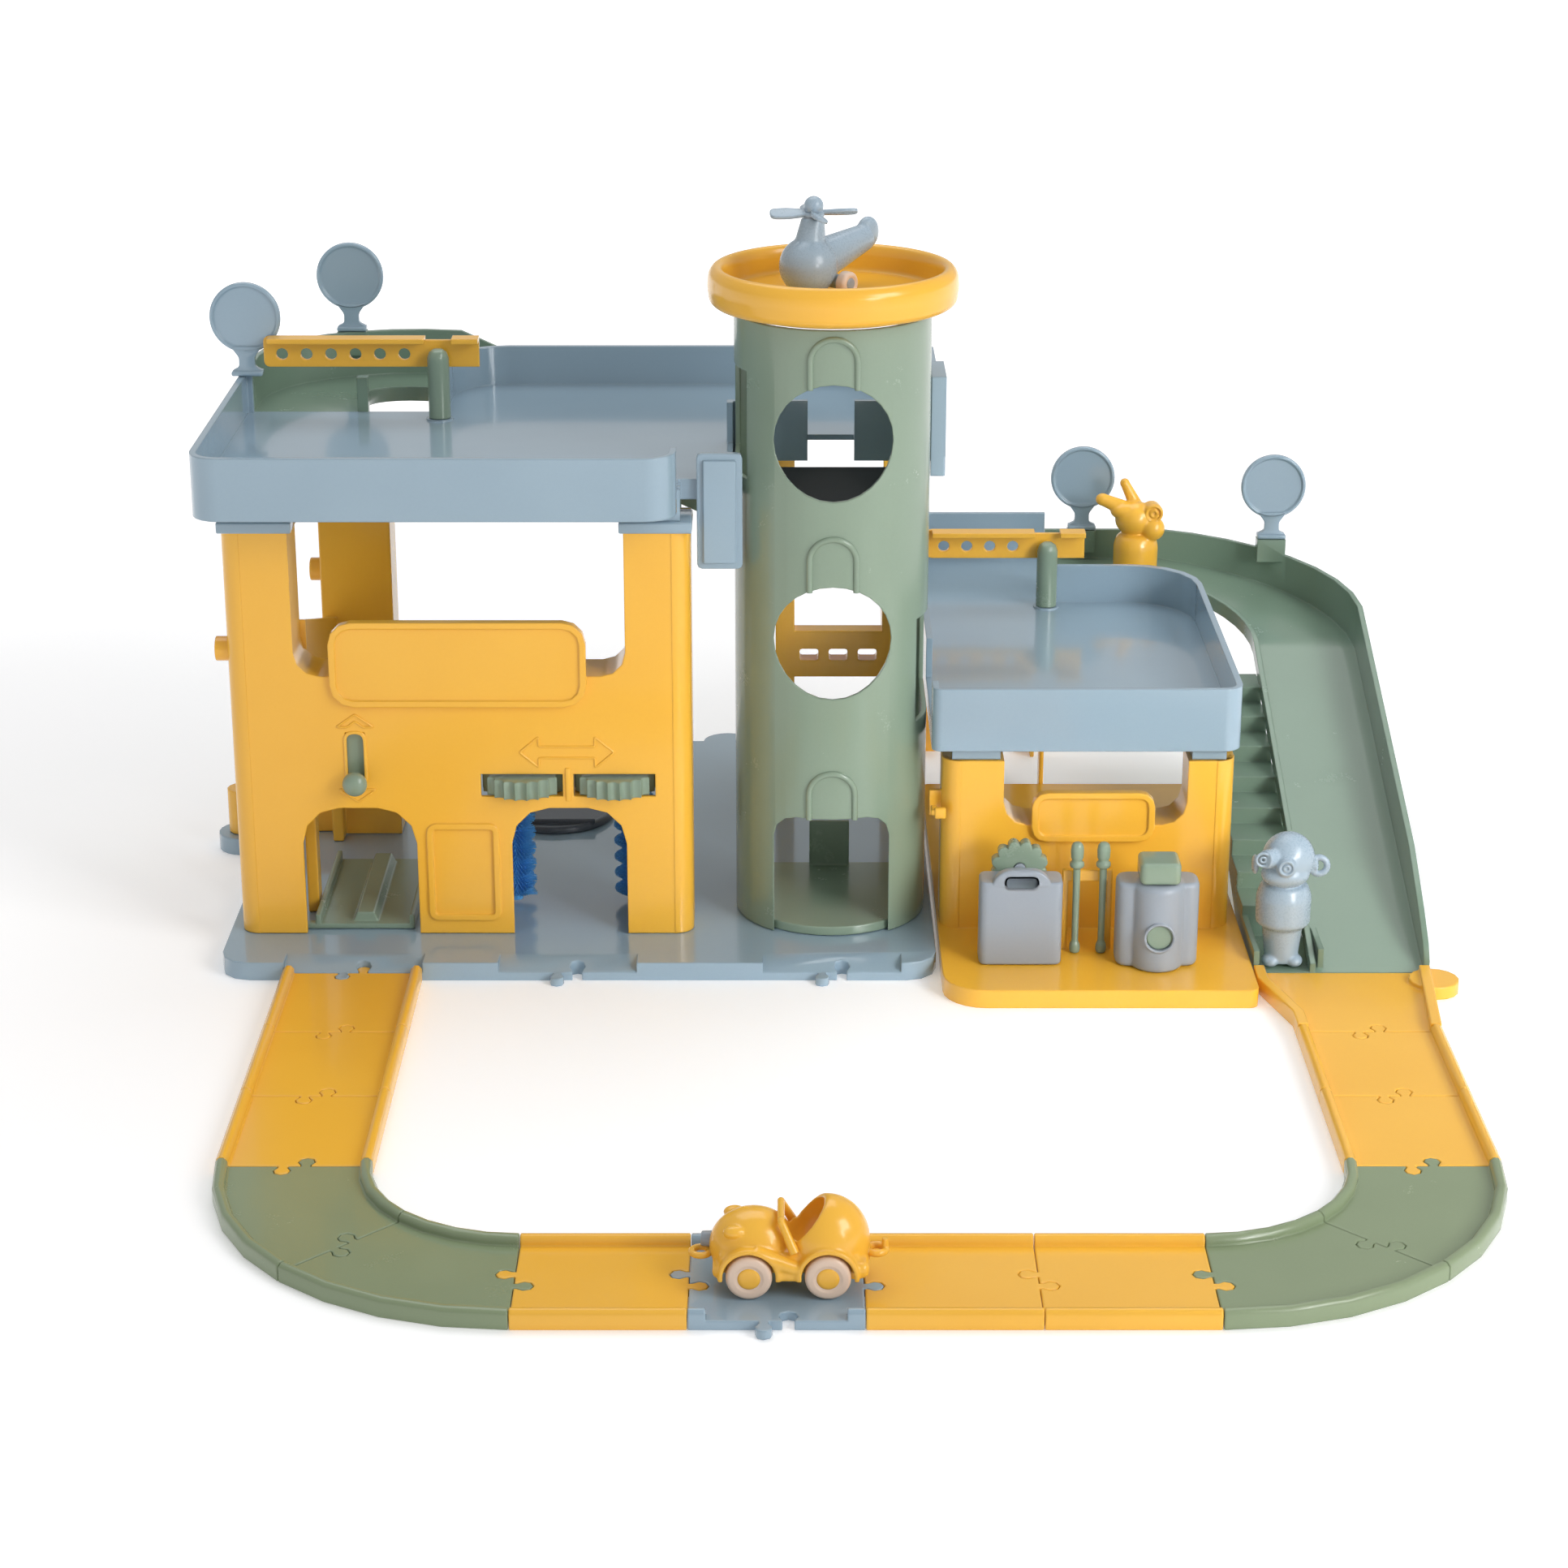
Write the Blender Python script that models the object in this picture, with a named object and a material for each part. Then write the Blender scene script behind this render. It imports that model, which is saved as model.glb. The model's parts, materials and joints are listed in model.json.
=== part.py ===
# Toy garage with a track, modelled in metres, +Z up.
# The origin is on the floor under the axis of the lift tower. +X is right and +Y is away from the viewer.
import math

import bmesh
import bpy
from mathutils import Matrix, Vector

MM = 0.001
GAP = 0.3 * MM
RUN_GAP = 0.6 * MM
SKIN = 2.6 * MM
REACH = 5.0 * MM

# Base plate
BASE_LEFT = -321.0 * MM
BASE_RIGHT = 55.0 * MM
BASE_FRONT = -84.0 * MM
BASE_BACK = 268.0 * MM
BASE_THICK = 10.0 * MM
BASE_CORNER = 16.0 * MM
BASE_RIB = 24.0 * MM
BASE_RIB_THIN = 3.0 * MM
BASE_POCKET_EDGE = 8.0 * MM
BASE_POCKET_FRONT = 22.0 * MM
BASE_RIBS_X = (-215.0 * MM, -115.0 * MM)
BASE_RIBS_Y = (20.0 * MM, 130.0 * MM)
EAR_RADIUS = 15.0 * MM
LEFT_EAR_Y = 112.0 * MM
BACK_EAR_X = -60.0 * MM
RECESS_DEPTH = 13.0 * MM

# Track
TILE_PITCH = 75.2 * MM
TILE_WIDTH = 72.4 * MM
TILE_FLOOR = 4.5 * MM
RAIL_WIDTH = 5.6 * MM
RAIL_HEIGHT = 9.0 * MM
RAIL_ROUND = 1.8 * MM
TAB_RADIUS = 3.8 * MM
TAB_NECK = 4.4 * MM
TAB_REACH = 4.8 * MM
TAB_OFFSET = 5.2 * MM
CURVE_RADIUS = 109.4 * MM
JUNCTION_INDEX = 1
ADAPTER_NECK = 16.0 * MM
ADAPTER_SHOULDER = 16.0 * MM
ADAPTER_LUG_RADIUS = 13.0 * MM
LEFT_TRACK_X = -250.6 * MM
LEFT_TRACK_TILES = 3
FRONT_TRACK_TILES = 4
RIGHT_TRACK_TILES = 2
TRACK_TURN_Y = BASE_FRONT - LEFT_TRACK_TILES * TILE_PITCH
FRONT_TRACK_Y = TRACK_TURN_Y - CURVE_RADIUS
FRONT_TRACK_X = LEFT_TRACK_X + CURVE_RADIUS
RIGHT_TRACK_X = FRONT_TRACK_X + FRONT_TRACK_TILES * TILE_PITCH + CURVE_RADIUS

# Left building
WALL_LEFT = -314.6 * MM
WALL_RIGHT = -73.3 * MM
WALL_FRONT = -44.1 * MM
WALL_DEPTH = 30.0 * MM
WALL_TOP = 237.0 * MM
WALL_CORNER = 10.0 * MM
WINDOW_LEFT = -279.7 * MM
WINDOW_RIGHT = -107.5 * MM
WINDOW_SILL = 154.3 * MM
WINDOW_CORNER = 13.0 * MM
ARCH_TOP = 81.5 * MM
ARCH_CORNER = 20.0 * MM
HOIST_ARCH_X = -249.2 * MM
HOIST_ARCH_WIDTH = 60.2 * MM
WASH_ARCH_X = -138.5 * MM
WASH_ARCH_WIDTH = 60.6 * MM
PLATE_LEFT = -261.1 * MM
PLATE_RIGHT = -127.8 * MM
PLATE_BOTTOM = 138.3 * MM
PLATE_TOP = 184.3 * MM
PLATE_CORNER = 12.0 * MM
PLATE_PROUD = 3.0 * MM
PLATE_BORDER = 3.4 * MM
PLATE_RECESS = 1.2 * MM
PANEL_LEFT = -213.8 * MM
PANEL_RIGHT = -175.6 * MM
PANEL_BOTTOM = 18.0 * MM
PANEL_TOP = 72.8 * MM
PANEL_CORNER = 5.0 * MM
PANEL_PROUD = 1.2 * MM
PANEL_BORDER = 3.2 * MM
LEVER_SLOT_X = -249.5 * MM
LEVER_SLOT_WIDTH = 10.2 * MM
LEVER_SLOT_BOTTOM = 95.0 * MM
LEVER_SLOT_TOP = 123.5 * MM
THUMB_SLOT_BOTTOM = 88.0 * MM
THUMB_SLOT_TOP = 100.5 * MM
THUMB_SLOT_WIDTH = 43.0 * MM
THUMB_SPREAD = 48.6 * MM
GALLERY_MARGIN = 7.0 * MM
BUTTON_HEIGHT = 165.0 * MM
BUTTON_PROUD = 7.0 * MM

# Rear legs of the left building
REAR_POST_Y = 118.0 * MM
REAR_POST_WIDTH = 40.0 * MM
REAR_POST_DEPTH = 26.0 * MM
SIDE_BAR_TOP = 176.0 * MM
SIDE_BAR_REAR_TOP = 139.0 * MM
SIDE_BAR_FOOT = 12.0 * MM
SIDE_BAR_BEND = 22.0 * MM
SIDE_FOOT_HEIGHT = 26.0 * MM
SIDE_BAR_HEIGHT = 34.0 * MM
SIDE_BAR_THICK = 6.0 * MM
SIDE_FOOT_RADIUS = 9.0 * MM
BUTTON_RADIUS = 6.5 * MM

# Frame behind the tower
REAR_FRAME_Y = 170.0 * MM
REAR_FRAME_THICK = 12.0 * MM
REAR_FRAME_LEFT = -30.0 * MM
REAR_FRAME_RIGHT = 43.0 * MM
REAR_FRAME_LEG = 11.0 * MM
REAR_RAIL_BOTTOM = 84.0 * MM
REAR_RAIL_TOP = 112.0 * MM
REAR_HOLE_WIDTH = 11.0 * MM
REAR_HOLE_BOTTOM = 94.0 * MM
REAR_HOLE_TOP = 101.0 * MM
REAR_HOLE_CORNER = 1.5 * MM
CLIMB_ARM_REACH = 42.0 * MM
CLIMB_ARM_DEPTH = 22.0 * MM
CLIMB_ARM_TIP = 5.0 * MM

# Upper deck
DECK_LEFT = -324.9 * MM
DECK_RIGHT = -79.6 * MM
DECK_FRONT = -70.7 * MM
DECK_BACK = 188.0 * MM
DECK_REAR_RIGHT = 60.0 * MM
DECK_BOTTOM = 244.7 * MM
DECK_FLOOR = 255.4 * MM
DECK_TOP = 277.4 * MM
DECK_CORNER = 16.0 * MM
DECK_WALL = 3.4 * MM
DECK_PLATE = 3.0 * MM
DECK_BACK_CORNER = 34.0 * MM
RAMP_MOUTH_X = -215.0 * MM
RAMP_MOUTH_Y = 119.0 * MM
COLLAR_INSET = 2.0 * MM
TOWER_CLEAR = 1.2 * MM
SHELF_FRONT = -26.7 * MM
SHELF_MOUTH = 20.0 * MM
GUARD_FRONT = 20.0 * MM
GUARD_TOP = 298.0 * MM
SLOT_X = -84.0 * MM
SLOT_FRONT = -40.0 * MM
SLOT_PITCH = 6.5 * MM
SLOT_LENGTH = 8.0 * MM
SLOT_WIDTH = 2.2 * MM
BRACKET_LEFT = -70.0 * MM
BRACKET_RIGHT = -46.5 * MM
BRACKET_BOTTOM = 208.7 * MM
BRACKET_TOP = 269.8 * MM
BRACKET_THICK = 4.0 * MM
BRACKET_PROUD = 2.0 * MM
BRACKET_CORNER = 2.5 * MM
BRACKET_BORDER = 3.4 * MM

# Tower
TOWER_RADIUS = 51.0 * MM
TOWER_TOP = 338.0 * MM
TOWER_BACK = 51.0 * MM
TOWER_SIDES = 40
PORTHOLE_RADIUS = 30.4 * MM
PORTHOLE_UPPER = 279.7 * MM
PORTHOLE_LOWER = 174.0 * MM
DOOR_WIDTH = 60.8 * MM
DOOR_TOP = 77.5 * MM
DOOR_CORNER = 12.0 * MM
SIDE_DOOR_HEIGHT = 56.0 * MM
SIDE_DOOR_FRONT = -25.0 * MM
SIDE_DOOR_X = 20.0 * MM
TOWER_LIP = 7.0 * MM
LIFT_THICK = 5.0 * MM
LIFT_GRIP_WIDTH = 22.0 * MM
LIFT_GRIP_REACH = 14.0 * MM
LIFT_BACK_HEIGHT = 26.0 * MM

# Helipad on the tower
PAD_RADIUS = 64.6 * MM
PAD_BOTTOM = 340.9 * MM
PAD_TOP = 361.2 * MM
PAD_FLOOR = 347.0 * MM
PAD_RIM = 8.0 * MM
PAD_SPIGOT_DEPTH = 8.0 * MM
PAD_PLATE = 3.0 * MM
PAD_SIDES = 28
PAD_EDGE = 3.0 * MM
PAD_CROWN = 4.0 * MM
PAD_BULGE = 0.7 * MM
SPIGOT_BACK = 40.0 * MM

# Lower deck
LOW_LEFT = 52.6 * MM
LOW_RIGHT = 215.4 * MM
LOW_FRONT = -40.3 * MM
LOW_BACK = 193.0 * MM
LOW_BOTTOM = 111.7 * MM
LOW_FLOOR = 123.6 * MM
LOW_TOP = 145.9 * MM
LOW_CORNER = 10.0 * MM
LOW_BACK_CORNER = 46.0 * MM
LANDING_RIGHT = 134.0 * MM
LANDING_TOP = 152.0 * MM
LANDING_INSET = 4.0 * MM
LANDING_ARCH_TOP = 84.0 * MM
LANDING_ARCH_CORNER = 18.0 * MM
LANDING_LEG = 13.0 * MM

# Right building
SHOP_LEFT = 58.5 * MM
SHOP_RIGHT = 213.0 * MM
SHOP_FRONT = -36.5 * MM
SHOP_DEPTH = 26.0 * MM
SHOP_TOP = 105.0 * MM
SHOP_FOOT_FRONT = -120.0 * MM
SHOP_FOOT_LEFT = 57.2 * MM
SHOP_FOOT_RIGHT = 219.0 * MM
SHOP_FOOT_CORNER = 22.0 * MM
SHOP_FOOT_BACK = 190.0 * MM
SHOP_WINDOW_LEFT = 91.0 * MM
SHOP_WINDOW_RIGHT = 188.0 * MM
SHOP_WINDOW_SILL = 69.0 * MM
SHOP_PLATE_LEFT = 106.0 * MM
SHOP_PLATE_RIGHT = 171.0 * MM
SHOP_PLATE_BOTTOM = 60.5 * MM
SHOP_PLATE_TOP = 88.0 * MM
SHOP_PLATE_CORNER = 8.0 * MM

# Slide ramp and its stairs
RAMP_LEFT = 250.0 * MM
RAMP_RIGHT = 312.5 * MM
RAMP_INNER_RADIUS = 46.5 * MM
RAMP_FOOT_Y = -83.6 * MM
RAMP_BEND_Y = 176.3 * MM
RAMP_BEND_RISE = 99.0 * MM
RAMP_WALL = 3.0 * MM
RAMP_PLATE = 3.2 * MM
RAMP_CURB_HEIGHT = 26.0 * MM
RAMP_INNER_CURB = 5.0 * MM
RAMP_BEND_STEPS = 8
STAIR_LEFT = 220.4 * MM
STAIR_COUNT = 8
STAIR_FRONT_Y = -34.0 * MM
STAIR_BACK_Y = 168.0 * MM
STAIR_DROP = 5.0 * MM
STAIR_BASE = 16.0 * MM
FOOT_CURB = 12.0 * MM
FOOT_RIDGE_SPREAD = 34.0 * MM
RAMP_LOW_CURB = 18.0 * MM
RAMP_LEG_LEFT = 262.0 * MM
RAMP_LEG_RIGHT = 300.0 * MM
RAMP_LEG_Y = 140.0 * MM
RAMP_LEG_THICK = 10.0 * MM
LANDING_BACK = RAMP_BEND_Y + RAMP_INNER_RADIUS + RAMP_RIGHT - RAMP_LEFT

# Upper ramp behind the buildings
CLIMB_WIDTH = 63.0 * MM
CLIMB_INNER_RADIUS = 43.4 * MM
CLIMB_CENTRE_Y = DECK_BACK + GAP - CLIMB_INNER_RADIUS
CLIMB_BEND_DROP = 9.0 * MM
CLIMB_CURB = 26.0 * MM
CLIMB_POST_HEIGHT = 19.0 * MM

# Road signs
SIGN_RADIUS = 19.4 * MM
SIGN_THICK = 4.0 * MM
SIGN_RIM = 2.4 * MM
SIGN_STEM_HEIGHT = 10.0 * MM
SIGN_STEM_WIDTH = 8.5 * MM
SIGN_FOOT_WIDTH = 17.0 * MM
SIGN_FOOT_DEPTH = 9.0 * MM
SIGN_FOOT_HEIGHT = 2.6 * MM
SIGN_FLARE = 2.0 * MM
SIGN_DISH = 1.2 * MM

SEAT_HEIGHT = 14.0 * MM
SIGN_ONE = (-320.0 * MM, 112.5 * MM)
SIGN_TWO_ANGLE = 54.0
SIGN_TWO_SEAT = 276.6 * MM
SIGN_THREE = (156.6 * MM, 283.0 * MM)
SIGN_THREE_SEAT = 142.0 * MM
SIGN_FOUR = (269.0 * MM, 258.0 * MM)
SIGN_FOUR_SEAT = 143.3 * MM

# Barriers
POST_RADIUS = 6.0 * MM
POST_HEIGHT = 39.0 * MM
POST_TIP = 5.0 * MM
POST_SEAT_RADIUS = 7.4 * MM
POST_SEAT_HEIGHT = 1.0 * MM
POST_X = -214.0 * MM
POST_Y = 101.0 * MM
LOW_POST_X = 128.0 * MM
ARM_LENGTH = 96.0 * MM
ARM_HEIGHT = 17.0 * MM
ARM_THICK = 2.8 * MM
ARM_TOP_WIDTH = 8.0 * MM
ARM_HOLE_RADIUS = 3.3 * MM
ARM_HOLE_PITCH = 13.4 * MM
ARM_HOLES = 6
ARM_TAIL = 22.0 * MM
LOW_ARM_LENGTH = 70.0 * MM
LOW_ARM_HOLES = 4
ARM_CLEAR_ABOVE_DECK = 27.6 * MM
ARM_PIN_RADIUS = 2.0 * MM
ARM_PIN_RISE = 6.0 * MM
ARM_END_CORNER = 3.0 * MM
ARM_FIRST_HOLE = 10.0 * MM
LOW_POST_Y = LOW_BACK - DECK_WALL - ARM_THICK - POST_RADIUS - 3 * GAP

# Car wash
THUMB_RADIUS = 22.0 * MM
THUMB_SCALLOPS = 14
THUMB_SCALLOP_DEPTH = 1.6 * MM
THUMB_HEIGHT = 10.0 * MM
THUMB_AXIS_Y = -31.0 * MM
BRUSH_SPREAD = 65.0 * MM
BRUSH_AXIS_Y = 2.0 * MM
BRUSH_CORE_RADIUS = 3.6 * MM
BRUSH_TIP_RADIUS = 11.4 * MM
BRUSH_ROWS = 15
BRUSH_STRANDS_PER_ROW = 10
BRUSH_BOTTOM = 14.0 * MM
BRUSH_TOP = 84.0 * MM
BRUSH_STRAND_WIDTH = 1.1 * MM
GALLERY_THICK = 3.0 * MM
PIN_RADIUS = 2.4 * MM

# Car hoist
HOIST_WIDTH = 53.0 * MM
HOIST_LENGTH = 96.0 * MM
HOIST_THICK = 3.0 * MM
HOIST_RAIL = 5.0 * MM
HOIST_RIB_WIDTH = 15.0 * MM
HOIST_FRONT_Y = -38.0 * MM
HOIST_RIB_MARGIN = 4.0 * MM
HOIST_RIB_TAPER = 3.0 * MM
KNOB_RADIUS = 6.4 * MM
KNOB_REACH = 8.0 * MM
KNOB_STEM = 2.4 * MM
LEVER_LEG_LEFT = -290.0 * MM
LEVER_LEG_RIGHT = -282.0 * MM
LEVER_LEG_DEPTH = 5.0 * MM
LEVER_PLATE_RIGHT = -240.0 * MM
LEVER_PLATE_BOTTOM = 92.0 * MM
LEVER_PLATE_TOP = 125.0 * MM

# Turntable
TURN_X = -158.0 * MM
TURN_Y = 138.0 * MM
TURN_RADIUS = 34.0 * MM
TURN_HEIGHT = 4.0 * MM
TURN_PIN_RADIUS = 5.0 * MM
TURN_PIN_DEPTH = 5.0 * MM
TURN_EDGE = 1.2 * MM
TURN_RIDGE_WIDTH = 3.0 * MM
TURN_RIDGE_HEIGHT = 2.0 * MM

# Shop front details
SHOP_FOOT_THICK = 10.0 * MM
CLIP_LEFT = 52.2 * MM
CLIP_RIGHT = 60.0 * MM
CLIP_BOTTOM = 71.0 * MM
CLIP_TOP = 85.0 * MM
HOLDER_LEFT = 121.0 * MM
HOLDER_RIGHT = 147.0 * MM
HOLDER_FRONT = -65.0 * MM
HOLDER_THICK = 3.0 * MM
HOLDER_BOTTOM = 48.5 * MM
HOLDER_TOP = 54.5 * MM

# Pump station on the foot plate
CAN_LEFT = 76.5 * MM
CAN_RIGHT = 119.5 * MM
CAN_FRONT = -88.0 * MM
CAN_DEPTH = 19.0 * MM
CAN_SHOULDER = 60.0 * MM
CAN_TOP = 65.3 * MM
CAN_HANDLE_HALF = 13.0 * MM
CAN_CORNER = 4.5 * MM
CAN_HANDLE_CORNER = 7.0 * MM
CAN_HANDLE_THICK = 6.0 * MM
CAN_HOLE_WIDTH = 16.0 * MM
CAN_HOLE_BOTTOM = 53.4 * MM
CAN_HOLE_HEIGHT = 5.6 * MM
CAN_HOLE_DEPTH = 12.0 * MM
CAN_WHEEL_RADIUS = 17.0 * MM
CAN_WHEEL_Z = 57.0 * MM
CAN_WHEEL_THICK = 7.0 * MM
CAN_WHEEL_SCALLOPS = 12
FLASK_X = 169.0 * MM
FLASK_Y = -80.0 * MM
FLASK_WIDTH = 43.0 * MM
FLASK_DEPTH = 21.0 * MM
FLASK_TOP = 56.5 * MM
FLASK_LOBE_RADIUS = 14.0 * MM
FLASK_LOBE_FORWARD = 5.0 * MM
FLASK_CAP_HALF = 10.5 * MM
FLASK_CAP_TOP = 69.5 * MM
FLASK_DIAL_RADIUS = 8.2 * MM
FLASK_DIAL_Z = 30.0 * MM
FLASK_CORNER = 8.0 * MM
FLASK_CAP_CORNER = 3.5 * MM
TOOL_X = (127.8 * MM, 141.6 * MM)
TOOL_Y = -69.5 * MM
TOOL_TOP = 72.0 * MM
TOOL_SHAFT_RADIUS = 1.9 * MM
TOOL_HEAD_RADIUS = 3.9 * MM
TOOL_FOOT_RADIUS = 2.8 * MM
TOOL_FOOT_HEIGHT = 5.0 * MM
TOOL_COLLAR_DROP = 14.0 * MM
TOOL_COLLAR_HEIGHT = 2.0 * MM
TOOL_BULB_DROP = 3.0 * MM

# Helicopter
HELI_X = -12.7 * MM
HELI_Y = -5.0 * MM
HELI_RADIUS = 15.2 * MM
HELI_HEADING = 228.0
HELI_LIFT = 0.9 * MM
MAST_RISE = 39.0 * MM
MAST_TOP = PAD_FLOOR + MAST_RISE
MAST_LEAN = 4.0 * MM
TAIL_ROOT_RADIUS = 9.5 * MM
TAIL_TIP_RADIUS = 4.5 * MM
TAIL_DROP = 6.0 * MM
FIN_THICK = 4.0 * MM
AXLE_TUBE_RADIUS = 3.4 * MM
BELLY_RADIUS = 9.0 * MM
MAST_RADIUS = 6.0 * MM
ROTOR_RADIUS = 23.0 * MM
BLADE_WIDTH = 7.4 * MM
BLADE_THICK = 2.2 * MM
ROTOR_BLADES = 4
ROTOR_KNOB_RADIUS = 4.8 * MM
HELI_WHEEL_RADIUS = 6.1 * MM
HELI_WHEEL_THICK = 6.0 * MM
HELI_TRACK = 41.0 * MM
HELI_AXLE_BACK = 10.0 * MM
HELI_TAIL_REACH = 48.0 * MM
HELI_TAIL_RISE = 26.0 * MM
HELI_FIN = [(-3 * MM, -9 * MM), (7 * MM, -9 * MM), (4 * MM, 2 * MM), (-1 * MM, 4 * MM), (-4 * MM, 0.0)]

# Car on the front road
CAR_X = -23.2 * MM
CAR_HALF_BASE = 16.8 * MM
CAR_WIDTH = 38.0 * MM
CAR_SPINE = 17.0 * MM
CAR_WHEEL_RADIUS = 9.9 * MM
CAR_WHEEL_THICK = 8.0 * MM
CAR_ARCH_RADIUS = 12.2 * MM
CAR_AXLE_RADIUS = 2.2 * MM
CAR_HOOK_RADIUS = 3.6 * MM
CAR_HOOK_THICK = 4.0 * MM
CAR_FRONT_HOOK_Z = 15.0 * MM
CAR_REAR_HOOK_Z = 18.0 * MM
CAR_EDGE = 5.0 * MM
SEAT_FRONT = -7.0 * MM
SEAT_BACK = 15.0 * MM
SEAT_FLOOR = 24.0 * MM
SCREEN_X = -10.0 * MM
SCREEN_TOP = 42.0 * MM
SCREEN_FRAME = 3.0 * MM
SCREEN_INSET = 7.0 * MM
CAR_SIDE = [(-34 * MM, 6 * MM), (34.5 * MM, 6 * MM), (35 * MM, 18 * MM), (32 * MM, 29 * MM),
            (27 * MM, 36 * MM),
            (20 * MM, 41.5 * MM), (12 * MM, 42 * MM), (5 * MM, 36 * MM), (1 * MM, 31.5 * MM),
            (-10 * MM, 33 * MM),
            (-22 * MM, 35 * MM), (-29 * MM, 32 * MM), (-34 * MM, 24 * MM)]

# Figures
RABBIT_X = 187.0 * MM
RABBIT_Y = 253.0 * MM
RABBIT_BODY = [(0.0, 0.0), (13.5 * MM, 0.0), (13.5 * MM, 18.0 * MM), (9.0 * MM, 24.0 * MM), (0.0, 24.0 * MM)]
RABBIT_HEAD_RADIUS = 12.5 * MM
RABBIT_HEAD = (-1.0 * MM, 0.0, 33.0 * MM)
RABBIT_CHEEK_RADIUS = 8.0 * MM
RABBIT_CHEEK = (9.0 * MM, -6.0 * MM, 29.0 * MM)
RABBIT_EYE_RADIUS = 6.2 * MM
RABBIT_EYE = (8.0 * MM, -6.0 * MM, 38.0 * MM)
RABBIT_EAR_RADIUS = 4.6 * MM
RABBIT_EAR_TIP = 3.8 * MM
RABBIT_EARS = [((-6.0 * MM, 1.0 * MM, 38.0 * MM), (-21.0 * MM, 1.0 * MM, 45.0 * MM)),
               ((-3.0 * MM, 4.0 * MM, 40.0 * MM), (-7.0 * MM, 6.0 * MM, 55.0 * MM))]
MONKEY_X = 236.5 * MM
MONKEY_Y = -70.0 * MM
MONKEY_BODY = [(0.0, 2.0 * MM), (11.0 * MM, 2.0 * MM), (12.5 * MM, 22.0 * MM), (16.0 * MM, 27.0 * MM),
               (14.5 * MM, 42.0 * MM), (9.0 * MM, 45.5 * MM), (0.0, 45.5 * MM)]
MONKEY_FOOT_RADIUS = 6.0 * MM
MONKEY_FOOT = (6.5 * MM, -2.0 * MM, 3.4 * MM)
MONKEY_HEAD_RADIUS = 14.8 * MM
MONKEY_HEAD = (0.0, 0.0, 59.0 * MM)
MONKEY_MUZZLE_RADIUS = 12.6 * MM
MONKEY_MUZZLE = (-1.0 * MM, -5.5 * MM, 54.0 * MM)
MONKEY_EYES = [(-13.5 * MM, 63.0 * MM), (-1.0 * MM, 61.0 * MM)]
MONKEY_EYE_RADIUS = 5.2 * MM
MONKEY_EYE_ROOT = -9.0 * MM
MONKEY_EYE_FRONT = -17.0 * MM
MONKEY_EAR_RADIUS = 6.5 * MM
MONKEY_EAR = (16.0 * MM, 1.0 * MM, 57.0 * MM)

YELLOW = (0.86, 0.49, 0.075, 1.0)
BLUE = (0.33, 0.43, 0.53, 1.0)
GREEN = (0.21, 0.32, 0.225, 1.0)
GREY = (0.37, 0.41, 0.48, 1.0)
CREAM = (0.78, 0.62, 0.5, 1.0)
BRISTLE = (0.012, 0.16, 0.52, 1.0)
DARK = (0.05, 0.05, 0.055, 1.0)


# Outlines in the plane

def arc(centre, radius, start, end, steps):
    turn = [math.radians(start + (end - start) * i / steps) for i in range(steps + 1)]
    return [(centre[0] + radius * math.cos(a), centre[1] + radius * math.sin(a)) for a in turn]


def rect(left, right, low, high):
    return [(left, low), (right, low), (right, high), (left, high)]


def turn_at(points, i):
    before, here, after = points[i - 1], points[i], points[(i + 1) % len(points)]
    ax, ay = here[0] - before[0], here[1] - before[1]
    bx, by = after[0] - here[0], after[1] - here[1]
    return ax * by - ay * bx


def inset(points, amount):
    # Moves each side of an outline that runs anticlockwise inward by the same amount.
    moved = []
    for i, here in enumerate(points):
        before, after = Vector(points[i - 1]), Vector(points[(i + 1) % len(points)])
        here = Vector(here)
        a = (here - before).normalized()
        b = (after - here).normalized()
        normal_a = Vector((-a.y, a.x))
        normal_b = Vector((-b.y, b.x))
        miter = (normal_a + normal_b) / (1.0 + normal_a.dot(normal_b))
        moved.append(tuple(here + miter * amount))
    return moved


def rounded(points, radii, steps=3):
    # Rounds each corner of an outline. A radius of 0 keeps the corner sharp.
    if not isinstance(radii, (list, tuple)):
        radii = [radii] * len(points)
    outline = []
    for i, here in enumerate(points):
        here = Vector(here)
        back = Vector(points[i - 1]) - here
        ahead = Vector(points[(i + 1) % len(points)]) - here
        if radii[i] <= 0.0:
            outline.append(tuple(here))
            continue
        half = back.angle(ahead) / 2.0
        reach = min(radii[i] / math.tan(half), 0.48 * back.length, 0.48 * ahead.length)
        radius = reach * math.tan(half)
        centre = here + (back.normalized() + ahead.normalized()).normalized() * (radius / math.sin(half))
        first = here + back.normalized() * reach - centre
        last = here + ahead.normalized() * reach - centre
        sweep = math.atan2(first.x * last.y - first.y * last.x, first.dot(last))
        start = math.atan2(first.y, first.x)
        for k in range(steps + 1):
            angle = start + sweep * k / steps
            outline.append((centre.x + radius * math.cos(angle), centre.y + radius * math.sin(angle)))
    return outline


def rounded_inset(points, radii, amount, steps=3):
    # The inner outline of a wall: outer corners get tighter and inner corners get wider.
    sign = [1.0 if turn_at(points, i) > 0 else -1.0 for i in range(len(points))]
    inner = [max(r - s * amount, 0.4 * MM) if r > 0 else 0.0 for r, s in zip(radii, sign)]
    return rounded(inset(points, amount), inner, steps)


# Solids

def place_point(plane, a, b, h):
    return {"XY": (a, b, h), "XZ": (a, h, b), "YZ": (h, a, b)}[plane]


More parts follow.
